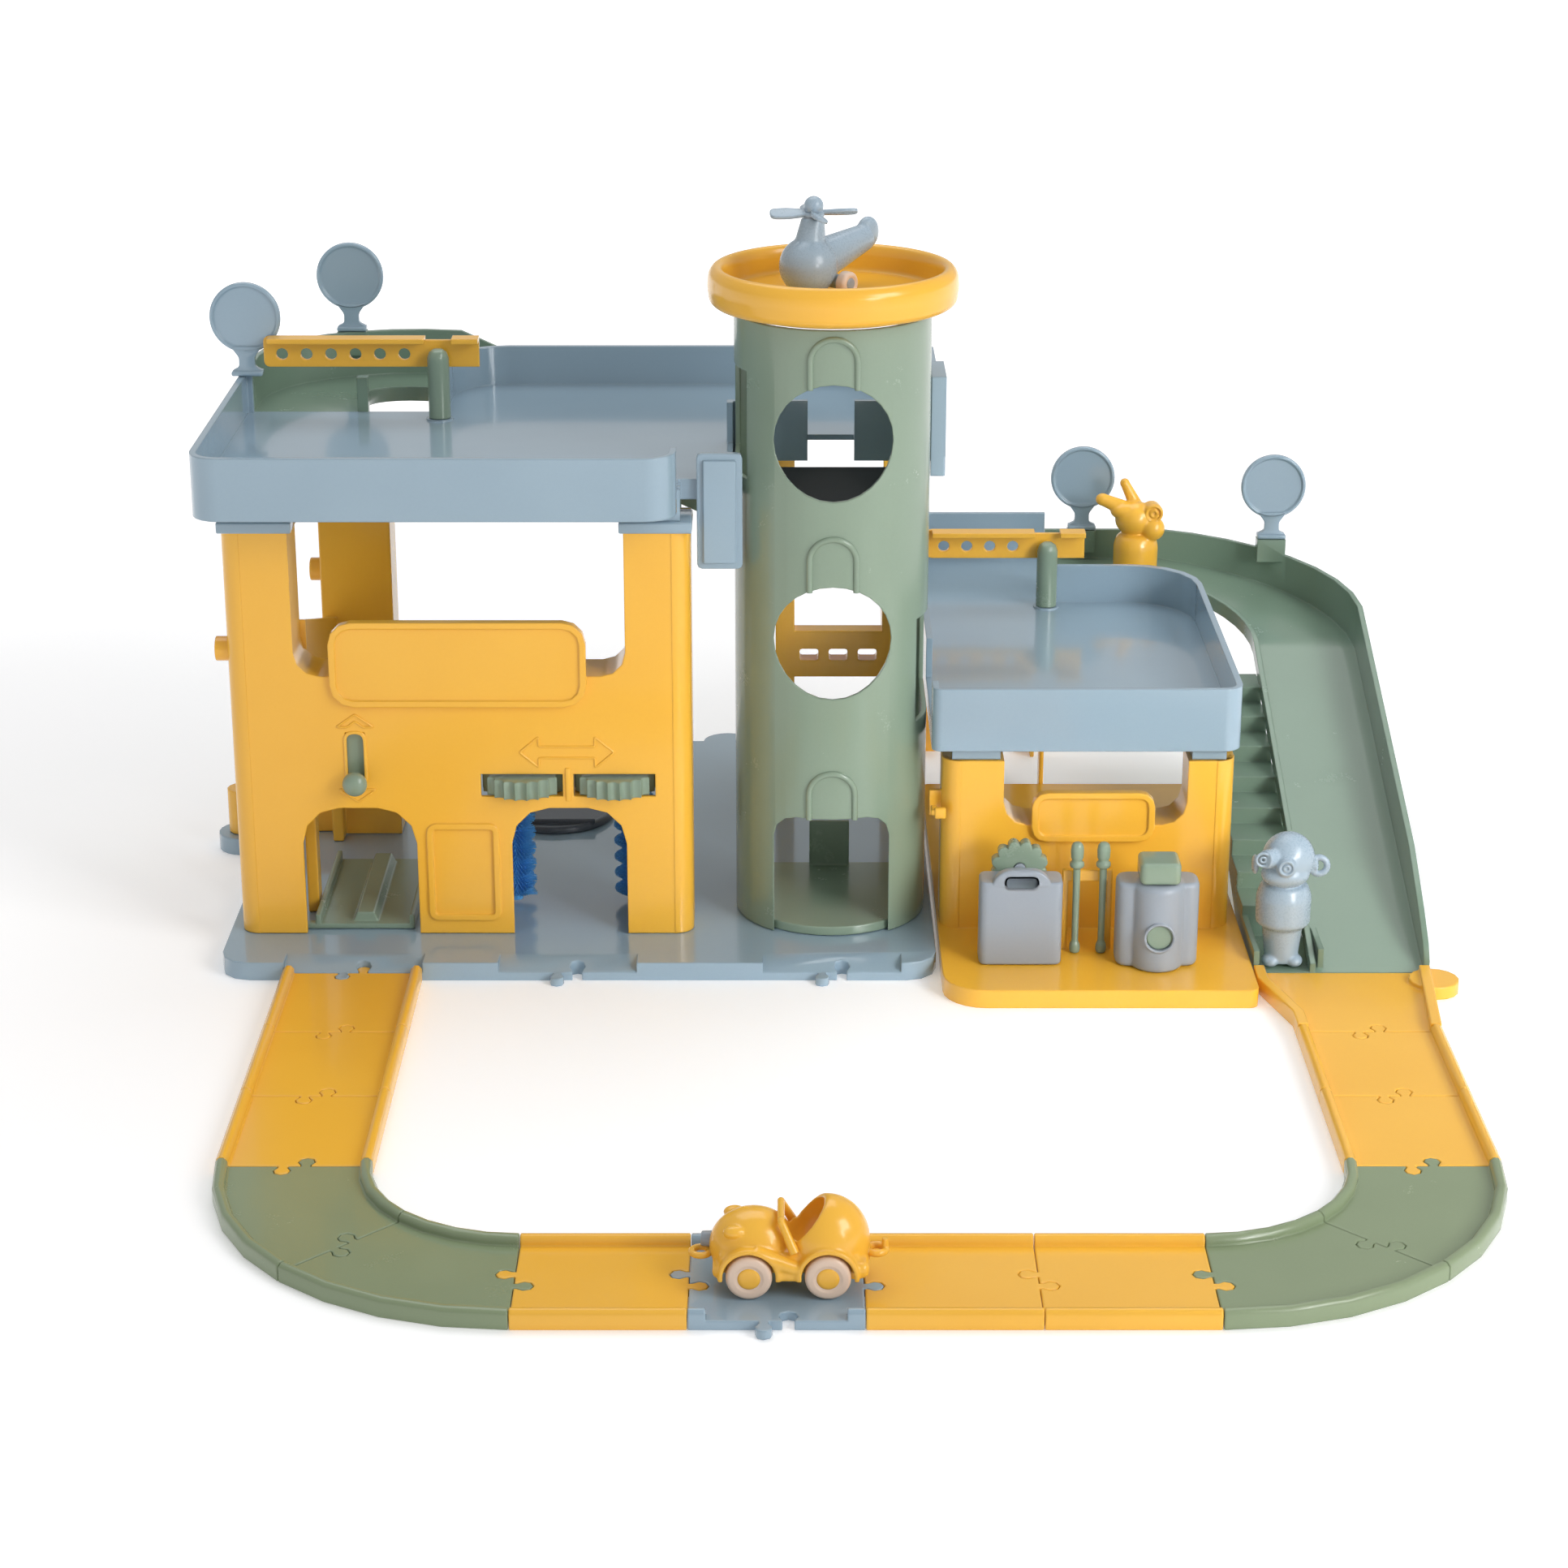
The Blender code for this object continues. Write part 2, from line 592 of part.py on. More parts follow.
def prism(outline, low, high, plane="XY"):
    bm = bmesh.new()
    verts = [bm.verts.new(place_point(plane, a, b, low)) for a, b in outline]
    face = bm.faces.new(verts)
    grown = bmesh.ops.extrude_face_region(bm, geom=[face])
    top = [v for v in grown["geom"] if isinstance(v, bmesh.types.BMVert)]
    step = Vector(place_point(plane, 0.0, 0.0, high - low))
    bmesh.ops.translate(bm, vec=step, verts=top)
    bmesh.ops.recalc_face_normals(bm, faces=bm.faces)
    return bm


def box(left, right, front, back, low, high):
    return prism(rect(left, right, front, back), low, high)


def disc(radius, low, high, sides=24, centre=(0.0, 0.0), plane="XY"):
    return prism(arc(centre, radius, 0.0, 360.0 - 360.0 / sides, sides - 1), low, high, plane)


def turned(profile, sides):
    # Turns a closed outline of radius and height once round the Z axis.
    bm = bmesh.new()
    verts = [bm.verts.new((r, 0.0, z)) for r, z in profile]
    edges = [bm.edges.new((a, b)) for a, b in zip(verts, verts[1:] + verts[:1])]
    bmesh.ops.spin(bm, geom=verts + edges, cent=(0, 0, 0), axis=(0, 0, 1), angle=math.tau,
                   steps=sides, use_merge=True)
    bmesh.ops.remove_doubles(bm, verts=bm.verts, dist=0.001 * MM)
    thin = [e for e in bm.edges if not e.link_faces]
    bmesh.ops.delete(bm, geom=thin, context="EDGES")
    bmesh.ops.recalc_face_normals(bm, faces=bm.faces)
    return bm


def ball(radius, size=(1.0, 1.0, 1.0), at=(0.0, 0.0, 0.0), turn=None, sides=12, rings=7):
    bm = bmesh.new()
    bmesh.ops.create_uvsphere(bm, u_segments=sides, v_segments=rings, radius=radius)
    bmesh.ops.scale(bm, vec=size, verts=bm.verts)
    if turn:
        bmesh.ops.rotate(bm, cent=(0, 0, 0), matrix=turn, verts=bm.verts)
    bmesh.ops.translate(bm, vec=at, verts=bm.verts)
    return bm


def rod(start, end, radius, end_radius=None, sides=12):
    # A round rod, or a cone, between two points.
    start, end = Vector(start), Vector(end)
    bm = bmesh.new()
    bmesh.ops.create_cone(bm, cap_ends=True, segments=sides, radius1=radius,
                          radius2=radius if end_radius is None else end_radius, depth=(end - start).length)
    lean = Vector((0, 0, 1)).rotation_difference(end - start).to_matrix()
    bmesh.ops.rotate(bm, cent=(0, 0, 0), matrix=lean, verts=bm.verts)
    bmesh.ops.translate(bm, vec=(start + end) / 2.0, verts=bm.verts)
    return bm


def swept(sections, stations, lowest=None):
    # Carries a closed section, across and up, along stations of x, y, z and heading in degrees.
    # One section serves every station, or each station has its own.
    if isinstance(sections[0][0], float):
        sections = [sections] * len(stations)
    bm = bmesh.new()
    rings = []
    for (x, y, z, heading), section in zip(stations, sections):
        right = (math.sin(math.radians(heading)), -math.cos(math.radians(heading)))
        ring = []
        for across, up in section:
            height = z + up if lowest is None else max(z + up, lowest)
            ring.append(bm.verts.new((x + right[0] * across, y + right[1] * across, height)))
        rings.append(ring)
    for near, far in zip(rings, rings[1:]):
        for i in range(len(near)):
            j = (i + 1) % len(near)
            bm.faces.new((near[i], near[j], far[j], far[i]))
    bm.faces.new(rings[0])
    bm.faces.new(rings[-1])
    bmesh.ops.recalc_face_normals(bm, faces=bm.faces)
    return bm


def moved(bm, offset=(0, 0, 0), turn=None):
    if turn:
        bmesh.ops.rotate(bm, cent=(0, 0, 0), matrix=turn, verts=bm.verts)
    bmesh.ops.translate(bm, vec=offset, verts=bm.verts)
    return bm


# Objects

def plastic(obj, colour, roughness=0.34):
    material = bpy.data.materials.new(obj.name + "_plastic")
    material.use_nodes = True
    shader = material.node_tree.nodes["Principled BSDF"]
    shader.inputs["Base Color"].default_value = colour
    shader.inputs["Roughness"].default_value = roughness
    shader.inputs["Metallic"].default_value = 0.0
    obj.data.materials.clear()
    obj.data.materials.append(material)


def to_object(name, bm):
    mesh = bpy.data.meshes.new(name)
    bm.to_mesh(mesh)
    bm.free()
    obj = bpy.data.objects.new(name, mesh)
    bpy.context.scene.collection.objects.link(obj)
    return obj


def combine(obj, operation, shapes):
    # Adds or cuts closed shapes, one after the other, with the exact Boolean.
    for shape in shapes:
        tool = to_object("tool", shape)
        change = obj.modifiers.new(operation, "BOOLEAN")
        change.operation = operation
        change.solver = "EXACT"
        change.object = tool
        graph = bpy.context.evaluated_depsgraph_get()
        result = bpy.data.meshes.new_from_object(obj.evaluated_get(graph))
        obj.modifiers.clear()
        old = obj.data
        obj.data = result
        result.name = obj.name
        spare = tool.data
        bpy.data.objects.remove(tool)
        bpy.data.meshes.remove(old)
        bpy.data.meshes.remove(spare)
    return obj


def fuse(obj, *shapes):
    return combine(obj, "UNION", shapes)


def cut(obj, *shapes):
    return combine(obj, "DIFFERENCE", shapes)


def finish(obj, colour, parent, at=(0, 0, 0), turn=(0, 0, 0), roughness=0.34):
    plastic(obj, colour, roughness)
    obj.data.shade_smooth()
    obj.data.set_sharp_from_angle(angle=math.radians(32))
    obj.parent = parent
    obj.location = at
    obj.rotation_euler = turn
    return obj


def group(name, at=(0, 0, 0), parent=None):
    empty = bpy.data.objects.new(name, None)
    empty.location = at
    empty.parent = parent
    bpy.context.scene.collection.objects.link(empty)
    return empty


# Track pieces

def tile_section():
    half = TILE_WIDTH / 2
    inner = half - RAIL_WIDTH
    points = [(-half, 0.0), (half, 0.0), (half, RAIL_HEIGHT), (inner, RAIL_HEIGHT), (inner, TILE_FLOOR),
              (-inner, TILE_FLOOR), (-inner, RAIL_HEIGHT), (-half, RAIL_HEIGHT)]
    return rounded(points, [0, 0, RAIL_ROUND, RAIL_ROUND, 0, 0, RAIL_ROUND, RAIL_ROUND], steps=1)


def knob_outline(radius, neck, reach, root):
    # A round knob on a neck that grows along +X from the edge at the origin.
    spread = math.degrees(math.asin(neck / 2 / radius))
    ring = arc((reach, 0.0), radius, spread - 180.0, 180.0 - spread, 6)
    return [(-root, -neck / 2)] + ring + [(-root, neck / 2)]


def on_edge(outline, edge, heading, side):
    # Places an outline on an edge that faces along heading, shifted to the right by side.
    c, s = math.cos(math.radians(heading)), math.sin(math.radians(heading))
    x0, y0 = edge[0] + s * side, edge[1] - c * side
    return [(x0 + a * c - b * s, y0 + a * s + b * c) for a, b in outline]


def join_end(obj, edge, heading):
    # Gives an edge the jigsaw knob and, beside it, the socket for the next piece's knob.
    knob = knob_outline(TAB_RADIUS, TAB_NECK, TAB_REACH, 1.0 * MM)
    socket = knob_outline(TAB_RADIUS + GAP, TAB_NECK + 2 * GAP, TAB_REACH - GAP, 1.0 * MM)
    fuse(obj, prism(on_edge(knob, edge, heading, TAB_OFFSET), 0.0, TILE_FLOOR))
    cut(obj, prism(on_edge(socket, edge, heading + 180.0, TAB_OFFSET), -REACH, TILE_FLOOR + REACH))


def straight_tile(name):
    stations = [(GAP, 0.0, 0.0, 0.0), (TILE_PITCH, 0.0, 0.0, 0.0)]
    tile = to_object(name, swept(tile_section(), stations))
    join_end(tile, (GAP, 0.0), 180.0)
    join_end(tile, (TILE_PITCH, 0.0), 0.0)
    return tile


def curve_tile(name):
    first = math.degrees(GAP / CURVE_RADIUS)
    steps = 4
    stations = []
    for i in range(steps + 1):
        angle = first + (45.0 - first) * i / steps
        a = math.radians(angle)
        stations.append((CURVE_RADIUS * math.sin(a), CURVE_RADIUS * (1 - math.cos(a)), 0.0, angle))
    tile = to_object(name, swept(tile_section(), stations))
    join_end(tile, stations[0][:2], 180.0 + first)
    join_end(tile, stations[-1][:2], 45.0)
    return tile


def junction_tile(name):
    # A straight piece whose near side is open, for one more road.
    tile = straight_tile(name)
    half = TILE_WIDTH / 2
    corner = RAIL_WIDTH + 2 * MM
    cut(tile, box(GAP + corner, TILE_PITCH - corner, -half - REACH, -half + RAIL_WIDTH, TILE_FLOOR,
                  RAIL_HEIGHT + REACH))
    join_end(tile, (TILE_PITCH / 2, -half), -90.0)
    return tile


def adapter_tile(name):
    # Widens the road to the foot of the slide, with a round lug on its outer side.
    near = TRACK_TURN_Y + RIGHT_TRACK_TILES * TILE_PITCH + GAP
    far = RAMP_FOOT_Y - GAP
    left, right = RIGHT_TRACK_X - TILE_WIDTH / 2, RIGHT_TRACK_X + TILE_WIDTH / 2
    neck = near + ADAPTER_NECK
    shoulder = far - ADAPTER_SHOULDER
    floor = [(left, near), (right, near), (RAMP_RIGHT, far), (STAIR_LEFT, far), (STAIR_LEFT, shoulder),
             (left, neck)]
    w = RAIL_WIDTH
    left_rail = [(left, near), (left + w, near), (left + w, neck), (STAIR_LEFT + w, shoulder),
                 (STAIR_LEFT + w, far),
                 (STAIR_LEFT, far), (STAIR_LEFT, shoulder), (left, neck)]
    right_rail = [(right - w, near), (right, near), (RAMP_RIGHT, far), (RAMP_RIGHT - w, far)]
    tile = to_object(name, prism(floor, 0.0, TILE_FLOOR))
    lug = disc(ADAPTER_LUG_RADIUS, 0.0, RAIL_HEIGHT - 2 * MM, 16, (RAMP_RIGHT, far - ADAPTER_LUG_RADIUS))
    fuse(tile, prism(left_rail, 0.0, RAIL_HEIGHT), lug, prism(right_rail, 0.0, RAIL_HEIGHT))
    join_end(tile, (RIGHT_TRACK_X, near), -90.0)
    return tile


def make_track(parent):
    start = (LEFT_TRACK_X, BASE_FRONT, 0.0)
    for i in range(LEFT_TRACK_TILES):
        at = (start[0], start[1] - i * TILE_PITCH, 0.0)
        finish(straight_tile(f"left_road_{i + 1}"), YELLOW, parent, at, (0, 0, math.radians(-90)))
    bend = math.sqrt(0.5) * CURVE_RADIUS
    middle = (LEFT_TRACK_X + CURVE_RADIUS - bend, TRACK_TURN_Y - bend, 0.0)
    finish(curve_tile("left_curve_1"), GREEN, parent, (LEFT_TRACK_X, TRACK_TURN_Y, 0.0),
           (0, 0, math.radians(-90)))
    finish(curve_tile("left_curve_2"), GREEN, parent, middle, (0, 0, math.radians(-45)))
    for i in range(FRONT_TRACK_TILES):
        at = (FRONT_TRACK_X + i * TILE_PITCH, FRONT_TRACK_Y, 0.0)
        if i == JUNCTION_INDEX:
            finish(junction_tile("front_junction"), BLUE, parent, at)
        else:
            finish(straight_tile(f"front_road_{i + 1}"), YELLOW, parent, at)
    turn_x = FRONT_TRACK_X + FRONT_TRACK_TILES * TILE_PITCH
    finish(curve_tile("right_curve_1"), GREEN, parent, (turn_x, FRONT_TRACK_Y, 0.0))
    middle = (turn_x + bend, FRONT_TRACK_Y + CURVE_RADIUS - bend, 0.0)
    finish(curve_tile("right_curve_2"), GREEN, parent, middle, (0, 0, math.radians(45)))
    for i in range(RIGHT_TRACK_TILES):
        at = (RIGHT_TRACK_X, TRACK_TURN_Y + i * TILE_PITCH, 0.0)
        finish(straight_tile(f"right_road_{i + 1}"), YELLOW, parent, at, (0, 0, math.radians(90)))
    finish(adapter_tile("road_adapter"), YELLOW, parent)


# Base plate

def make_base(parent):
    corners = rect(BASE_LEFT, BASE_RIGHT, BASE_FRONT, BASE_BACK)
    base = to_object("base_plate", prism(rounded(corners, BASE_CORNER), 0.0, BASE_THICK))
    fuse(base, disc(EAR_RADIUS, 0.0, BASE_THICK, 20, (BASE_LEFT - EAR_RADIUS, LEFT_EAR_Y)),
         box(BASE_LEFT - EAR_RADIUS, BASE_LEFT + REACH, LEFT_EAR_Y - EAR_RADIUS, LEFT_EAR_Y + EAR_RADIUS,
             0.0, BASE_THICK),
         disc(EAR_RADIUS, 0.0, BASE_THICK, 20, (BACK_EAR_X, BASE_BACK)))
    for x in (LEFT_TRACK_X, WASH_ARCH_X, 0.0):
        half = TILE_WIDTH / 2
        slope = [(BASE_FRONT - REACH, TILE_FLOOR), (BASE_FRONT, TILE_FLOOR),
                 (BASE_FRONT + RECESS_DEPTH, BASE_THICK + 0.01 * MM), (BASE_FRONT - REACH,
                                                                       BASE_THICK + REACH)]
        cut(base, prism(slope, x - half, x + half, "YZ"))
        join_end(base, (x, BASE_FRONT), -90.0)
    pocket_x = [BASE_LEFT + BASE_POCKET_EDGE, *BASE_RIBS_X, -BASE_RIB / 2]
    pocket_y = [BASE_FRONT + BASE_POCKET_FRONT, *BASE_RIBS_Y, BASE_BACK - BASE_POCKET_EDGE]
    for x0, x1 in zip(pocket_x, pocket_x[1:]):
        for y0, y1 in zip(pocket_y, pocket_y[1:]):
            cut(base, box(x0, x1 - BASE_RIB_THIN, y0, y1 - BASE_RIB_THIN, -REACH, BASE_THICK - SKIN))
    cut(base, disc(TURN_PIN_RADIUS + GAP, BASE_THICK - SKIN - REACH, BASE_THICK + REACH, 16,
                   (TURN_X, TURN_Y)))
    return finish(base, BLUE, parent)


# Left building

def open_front(left, right, front, depth, bottom, top, corner, window):
    # A front wall moulded as one tray, open at the back and at the bottom. The window is open at the top.
    w_left, w_right, sill, w_corner = window
    plan = rounded(rect(left, right, front, front + depth), [corner, corner, 0, 0])
    wall = to_object("wall", prism(plan, bottom, top))
    opening = rounded(rect(w_left, w_right, sill, top + REACH), [w_corner, w_corner, 0, 0])
    hollow = [(left + SKIN, bottom - REACH), (right - SKIN, bottom - REACH), (right - SKIN, top - SKIN),
              (w_right + SKIN, top - SKIN), (w_right + SKIN, sill - SKIN), (w_left - SKIN, sill - SKIN),
              (w_left - SKIN, top - SKIN), (left + SKIN, top - SKIN)]
    radii = [0, 0, 0, 0, w_corner, w_corner, 0, 0]
    cut(wall, prism(opening, front - REACH, front + depth + REACH, "XZ"),
        prism(rounded(hollow, radii), front + SKIN, front + depth + REACH, "XZ"))
    return wall


def name_plate(wall, left, right, bottom, top, corner, front):
    # A raised plate whose border stands proud of its bare middle.
    corners = rect(left, right, bottom, top)
    outer = rounded(corners, corner)
    inner = rounded_inset(corners, [corner] * 4, PLATE_BORDER)
    fuse(wall, prism(outer, front - PLATE_PROUD, front + SKIN, "XZ"))
    cut(wall, prism(inner, front - PLATE_PROUD - REACH, front - PLATE_PROUD + PLATE_RECESS, "XZ"))


def arch_cut(x, width, top, corner, front, back):
    outline = rounded(rect(x - width / 2, x + width / 2, -REACH, top), [0, 0, corner, corner])
    return prism(outline, front, back, "XZ")


def wash_axes():
    # The thumb wheels and the brushes stand in mirrored pairs about the middle of the wash arch.
    thumbs = [(WASH_ARCH_X + side * THUMB_SPREAD / 2, THUMB_AXIS_Y) for side in (-1, 1)]
    brushes = [(WASH_ARCH_X + side * BRUSH_SPREAD / 2, BRUSH_AXIS_Y) for side in (-1, 1)]
    return thumbs, brushes


def make_left_wall(parent):
    window = (WINDOW_LEFT, WINDOW_RIGHT, WINDOW_SILL, WINDOW_CORNER)
    wall = open_front(WALL_LEFT, WALL_RIGHT, WALL_FRONT, WALL_DEPTH, BASE_THICK + GAP, WALL_TOP, WALL_CORNER,
                      window)
    wall.name = "left_front_wall"
    inside = WALL_FRONT + SKIN + 2 * MM
    cut(wall, arch_cut(HOIST_ARCH_X, HOIST_ARCH_WIDTH, ARCH_TOP, ARCH_CORNER, WALL_FRONT - REACH, inside),
        arch_cut(WASH_ARCH_X, WASH_ARCH_WIDTH, ARCH_TOP, ARCH_CORNER, WALL_FRONT - REACH, inside))
    name_plate(wall, PLATE_LEFT, PLATE_RIGHT, PLATE_BOTTOM, PLATE_TOP, PLATE_CORNER, WALL_FRONT)
    panel = rect(PANEL_LEFT, PANEL_RIGHT, PANEL_BOTTOM, PANEL_TOP)
    fuse(wall, prism(rounded(panel, PANEL_CORNER), WALL_FRONT - PANEL_PROUD, WALL_FRONT + SKIN, "XZ"))
    inner = rounded_inset(panel, [PANEL_CORNER] * 4, PANEL_BORDER)
    cut(wall, prism(inner, WALL_FRONT - REACH, WALL_FRONT + GAP, "XZ"))
    half = LEVER_SLOT_WIDTH / 2
    cut(wall, prism(rect(LEVER_SLOT_X - half, LEVER_SLOT_X + half, LEVER_SLOT_BOTTOM, LEVER_SLOT_TOP),
                    WALL_FRONT - REACH, inside, "XZ"))
    thumbs, brushes = wash_axes()
    for x, y in thumbs:
        half = THUMB_SLOT_WIDTH / 2
        slot = rect(x - half, x + half, THUMB_SLOT_BOTTOM, THUMB_SLOT_TOP)
        cut(wall, prism(slot, WALL_FRONT - REACH, inside, "XZ"))
    shelf_top = THUMB_SLOT_BOTTOM
    edge = BRUSH_SPREAD / 2 + GALLERY_MARGIN
    fuse(wall, box(WASH_ARCH_X - edge, min(WASH_ARCH_X + edge, WALL_RIGHT - SKIN / 2), WALL_FRONT + SKIN / 2,
                   BRUSH_AXIS_Y + GALLERY_MARGIN, shelf_top - GALLERY_THICK, shelf_top))
    for x, y in brushes:
        cut(wall, disc(PIN_RADIUS + RUN_GAP, shelf_top - GALLERY_THICK - REACH, shelf_top + REACH, 16,
                       (x, y)))
    for x, y in thumbs:
        fuse(wall, disc(PIN_RADIUS, shelf_top - SKIN, shelf_top + THUMB_HEIGHT, 12, (x, y)))
    fuse(wall, rod((WALL_LEFT - BUTTON_PROUD, WALL_FRONT + WALL_DEPTH / 2, BUTTON_HEIGHT),
                   (WALL_LEFT + SKIN, WALL_FRONT + WALL_DEPTH / 2, BUTTON_HEIGHT), BUTTON_RADIUS, sides=14))
    return finish(wall, YELLOW, parent)


def make_side_frame(parent):
    # The side bar falls from the front wall to the rear post, over an arch for the cars.
    x0 = WINDOW_LEFT - SIDE_BAR_THICK / 2
    front = WALL_FRONT + WALL_DEPTH + GAP
    post_front = REAR_POST_Y - REAR_POST_DEPTH / 2
    foot = BASE_THICK + GAP
    bar = [(front, foot), (front + SIDE_BAR_FOOT, foot),
           (front + SIDE_BAR_FOOT, SIDE_BAR_TOP - SIDE_BAR_HEIGHT),
           (post_front - SIDE_BAR_FOOT, SIDE_BAR_REAR_TOP - SIDE_BAR_HEIGHT),
           (post_front - SIDE_BAR_FOOT, foot),
           (post_front + REACH, foot), (post_front + REACH, SIDE_BAR_REAR_TOP), (front, SIDE_BAR_TOP)]
    radii = [0, 0, SIDE_BAR_BEND, SIDE_BAR_BEND, 0, 0, 0, 0]
    frame = to_object("left_side_frame", prism(rounded(bar, radii), x0, x0 + SIDE_BAR_THICK, "YZ"))
    left = x0 - 2 * MM
    post = [(left, post_front), (left + REAR_POST_WIDTH, post_front),
            (left + REAR_POST_WIDTH, post_front + REAR_POST_DEPTH), (left, post_front + REAR_POST_DEPTH)]
    fuse(frame, prism(post, foot, DECK_BOTTOM - GAP))
    hollow = box(left + SKIN, left + REAR_POST_WIDTH - SKIN, post_front + SKIN,
                 post_front + REAR_POST_DEPTH + REACH, foot - REACH, DECK_BOTTOM - SKIN)
    cut(frame, hollow)
    web_y = LEFT_EAR_Y
    fuse(frame,
         box(BASE_LEFT - EAR_RADIUS, left + SKIN, web_y - SIDE_BAR_THICK / 2, web_y + SIDE_BAR_THICK / 2,
                    foot, foot + SIDE_FOOT_HEIGHT),
         disc(SIDE_FOOT_RADIUS, foot, foot + SIDE_FOOT_HEIGHT, 14, (BASE_LEFT - EAR_RADIUS, web_y)),
         rod((left - BUTTON_PROUD, REAR_POST_Y, BUTTON_HEIGHT), (left + SKIN, REAR_POST_Y, BUTTON_HEIGHT),
             BUTTON_RADIUS, sides=14))
    return finish(frame, YELLOW, parent)


def make_rear_frame(parent):
    # Two legs behind the tower carry the upper deck. The rail between them has three windows.
    foot = BASE_THICK + GAP
    y0, y1 = REAR_FRAME_Y, REAR_FRAME_Y + REAR_FRAME_THICK
    frame = to_object("rear_frame", box(REAR_FRAME_LEFT, REAR_FRAME_RIGHT, y0, y1, foot, DECK_BOTTOM - GAP))
    leg = REAR_FRAME_LEG
    inner_left, inner_right = REAR_FRAME_LEFT + leg, REAR_FRAME_RIGHT - leg
    spans = [(foot - REACH, REAR_RAIL_BOTTOM), (REAR_RAIL_TOP, DECK_BOTTOM - REAR_FRAME_LEG)]
    for low, high in spans:
        cut(frame, prism(rect(inner_left, inner_right, low, high), y0 - REACH, y1 + REACH, "XZ"))
    pitch = (inner_right - inner_left) / 3
    for i in range(3):
        x = inner_left + (i + 0.5) * pitch
        hole = rounded(rect(x - REAR_HOLE_WIDTH / 2, x + REAR_HOLE_WIDTH / 2, REAR_HOLE_BOTTOM,
                            REAR_HOLE_TOP),
                       REAR_HOLE_CORNER, 2)
        cut(frame, prism(hole, y0 - REACH, y1 + REACH, "XZ"))
    arm_x = REAR_FRAME_RIGHT - leg
    rise = climb_height(REAR_FRAME_RIGHT) - RAMP_PLATE - GAP
    tip = y1 + CLIMB_ARM_REACH
    arm = [(y0 + 1 * MM, rise - CLIMB_ARM_DEPTH), (y1, rise - CLIMB_ARM_DEPTH), (tip, rise - CLIMB_ARM_TIP),
           (tip, rise), (y0 + 1 * MM, rise)]
    fuse(frame, prism(arm, arm_x, REAR_FRAME_RIGHT, "YZ"))
    return finish(frame, YELLOW, parent)


# Upper deck

def deck_corners():
    tower = TOWER_RADIUS + TOWER_CLEAR
    return [((DECK_LEFT, DECK_FRONT), DECK_CORNER), ((DECK_RIGHT, DECK_FRONT), DECK_CORNER),
            ((DECK_RIGHT, SHELF_FRONT), 1.5 * MM), ((-tower, SHELF_FRONT), 0.0),
            ((-tower, TOWER_BACK + TOWER_CLEAR), 0.0), ((tower, TOWER_BACK + TOWER_CLEAR), 0.0),
            ((tower, GUARD_FRONT), 0.0), ((DECK_REAR_RIGHT, GUARD_FRONT), 1.5 * MM),
            ((DECK_REAR_RIGHT, DECK_BACK), 6.0 * MM), ((RAMP_MOUTH_X, DECK_BACK), DECK_BACK_CORNER),
            ((RAMP_MOUTH_X, RAMP_MOUTH_Y), 1.5 * MM), ((DECK_LEFT, RAMP_MOUTH_Y), 1.5 * MM)]


def tray(name, corners, bottom, floor, top):
    # A deck with a wall round it and a skirt below its floor.
    points = [p for p, r in corners]
    radii = [r for p, r in corners]
    deck = to_object(name, prism(rounded(points, radii, 5), bottom, top))
    inner = rounded_inset(points, radii, DECK_WALL, 5)
    cut(deck, prism(inner, floor, top + REACH), prism(inner, bottom - REACH, floor - DECK_PLATE))
    return deck


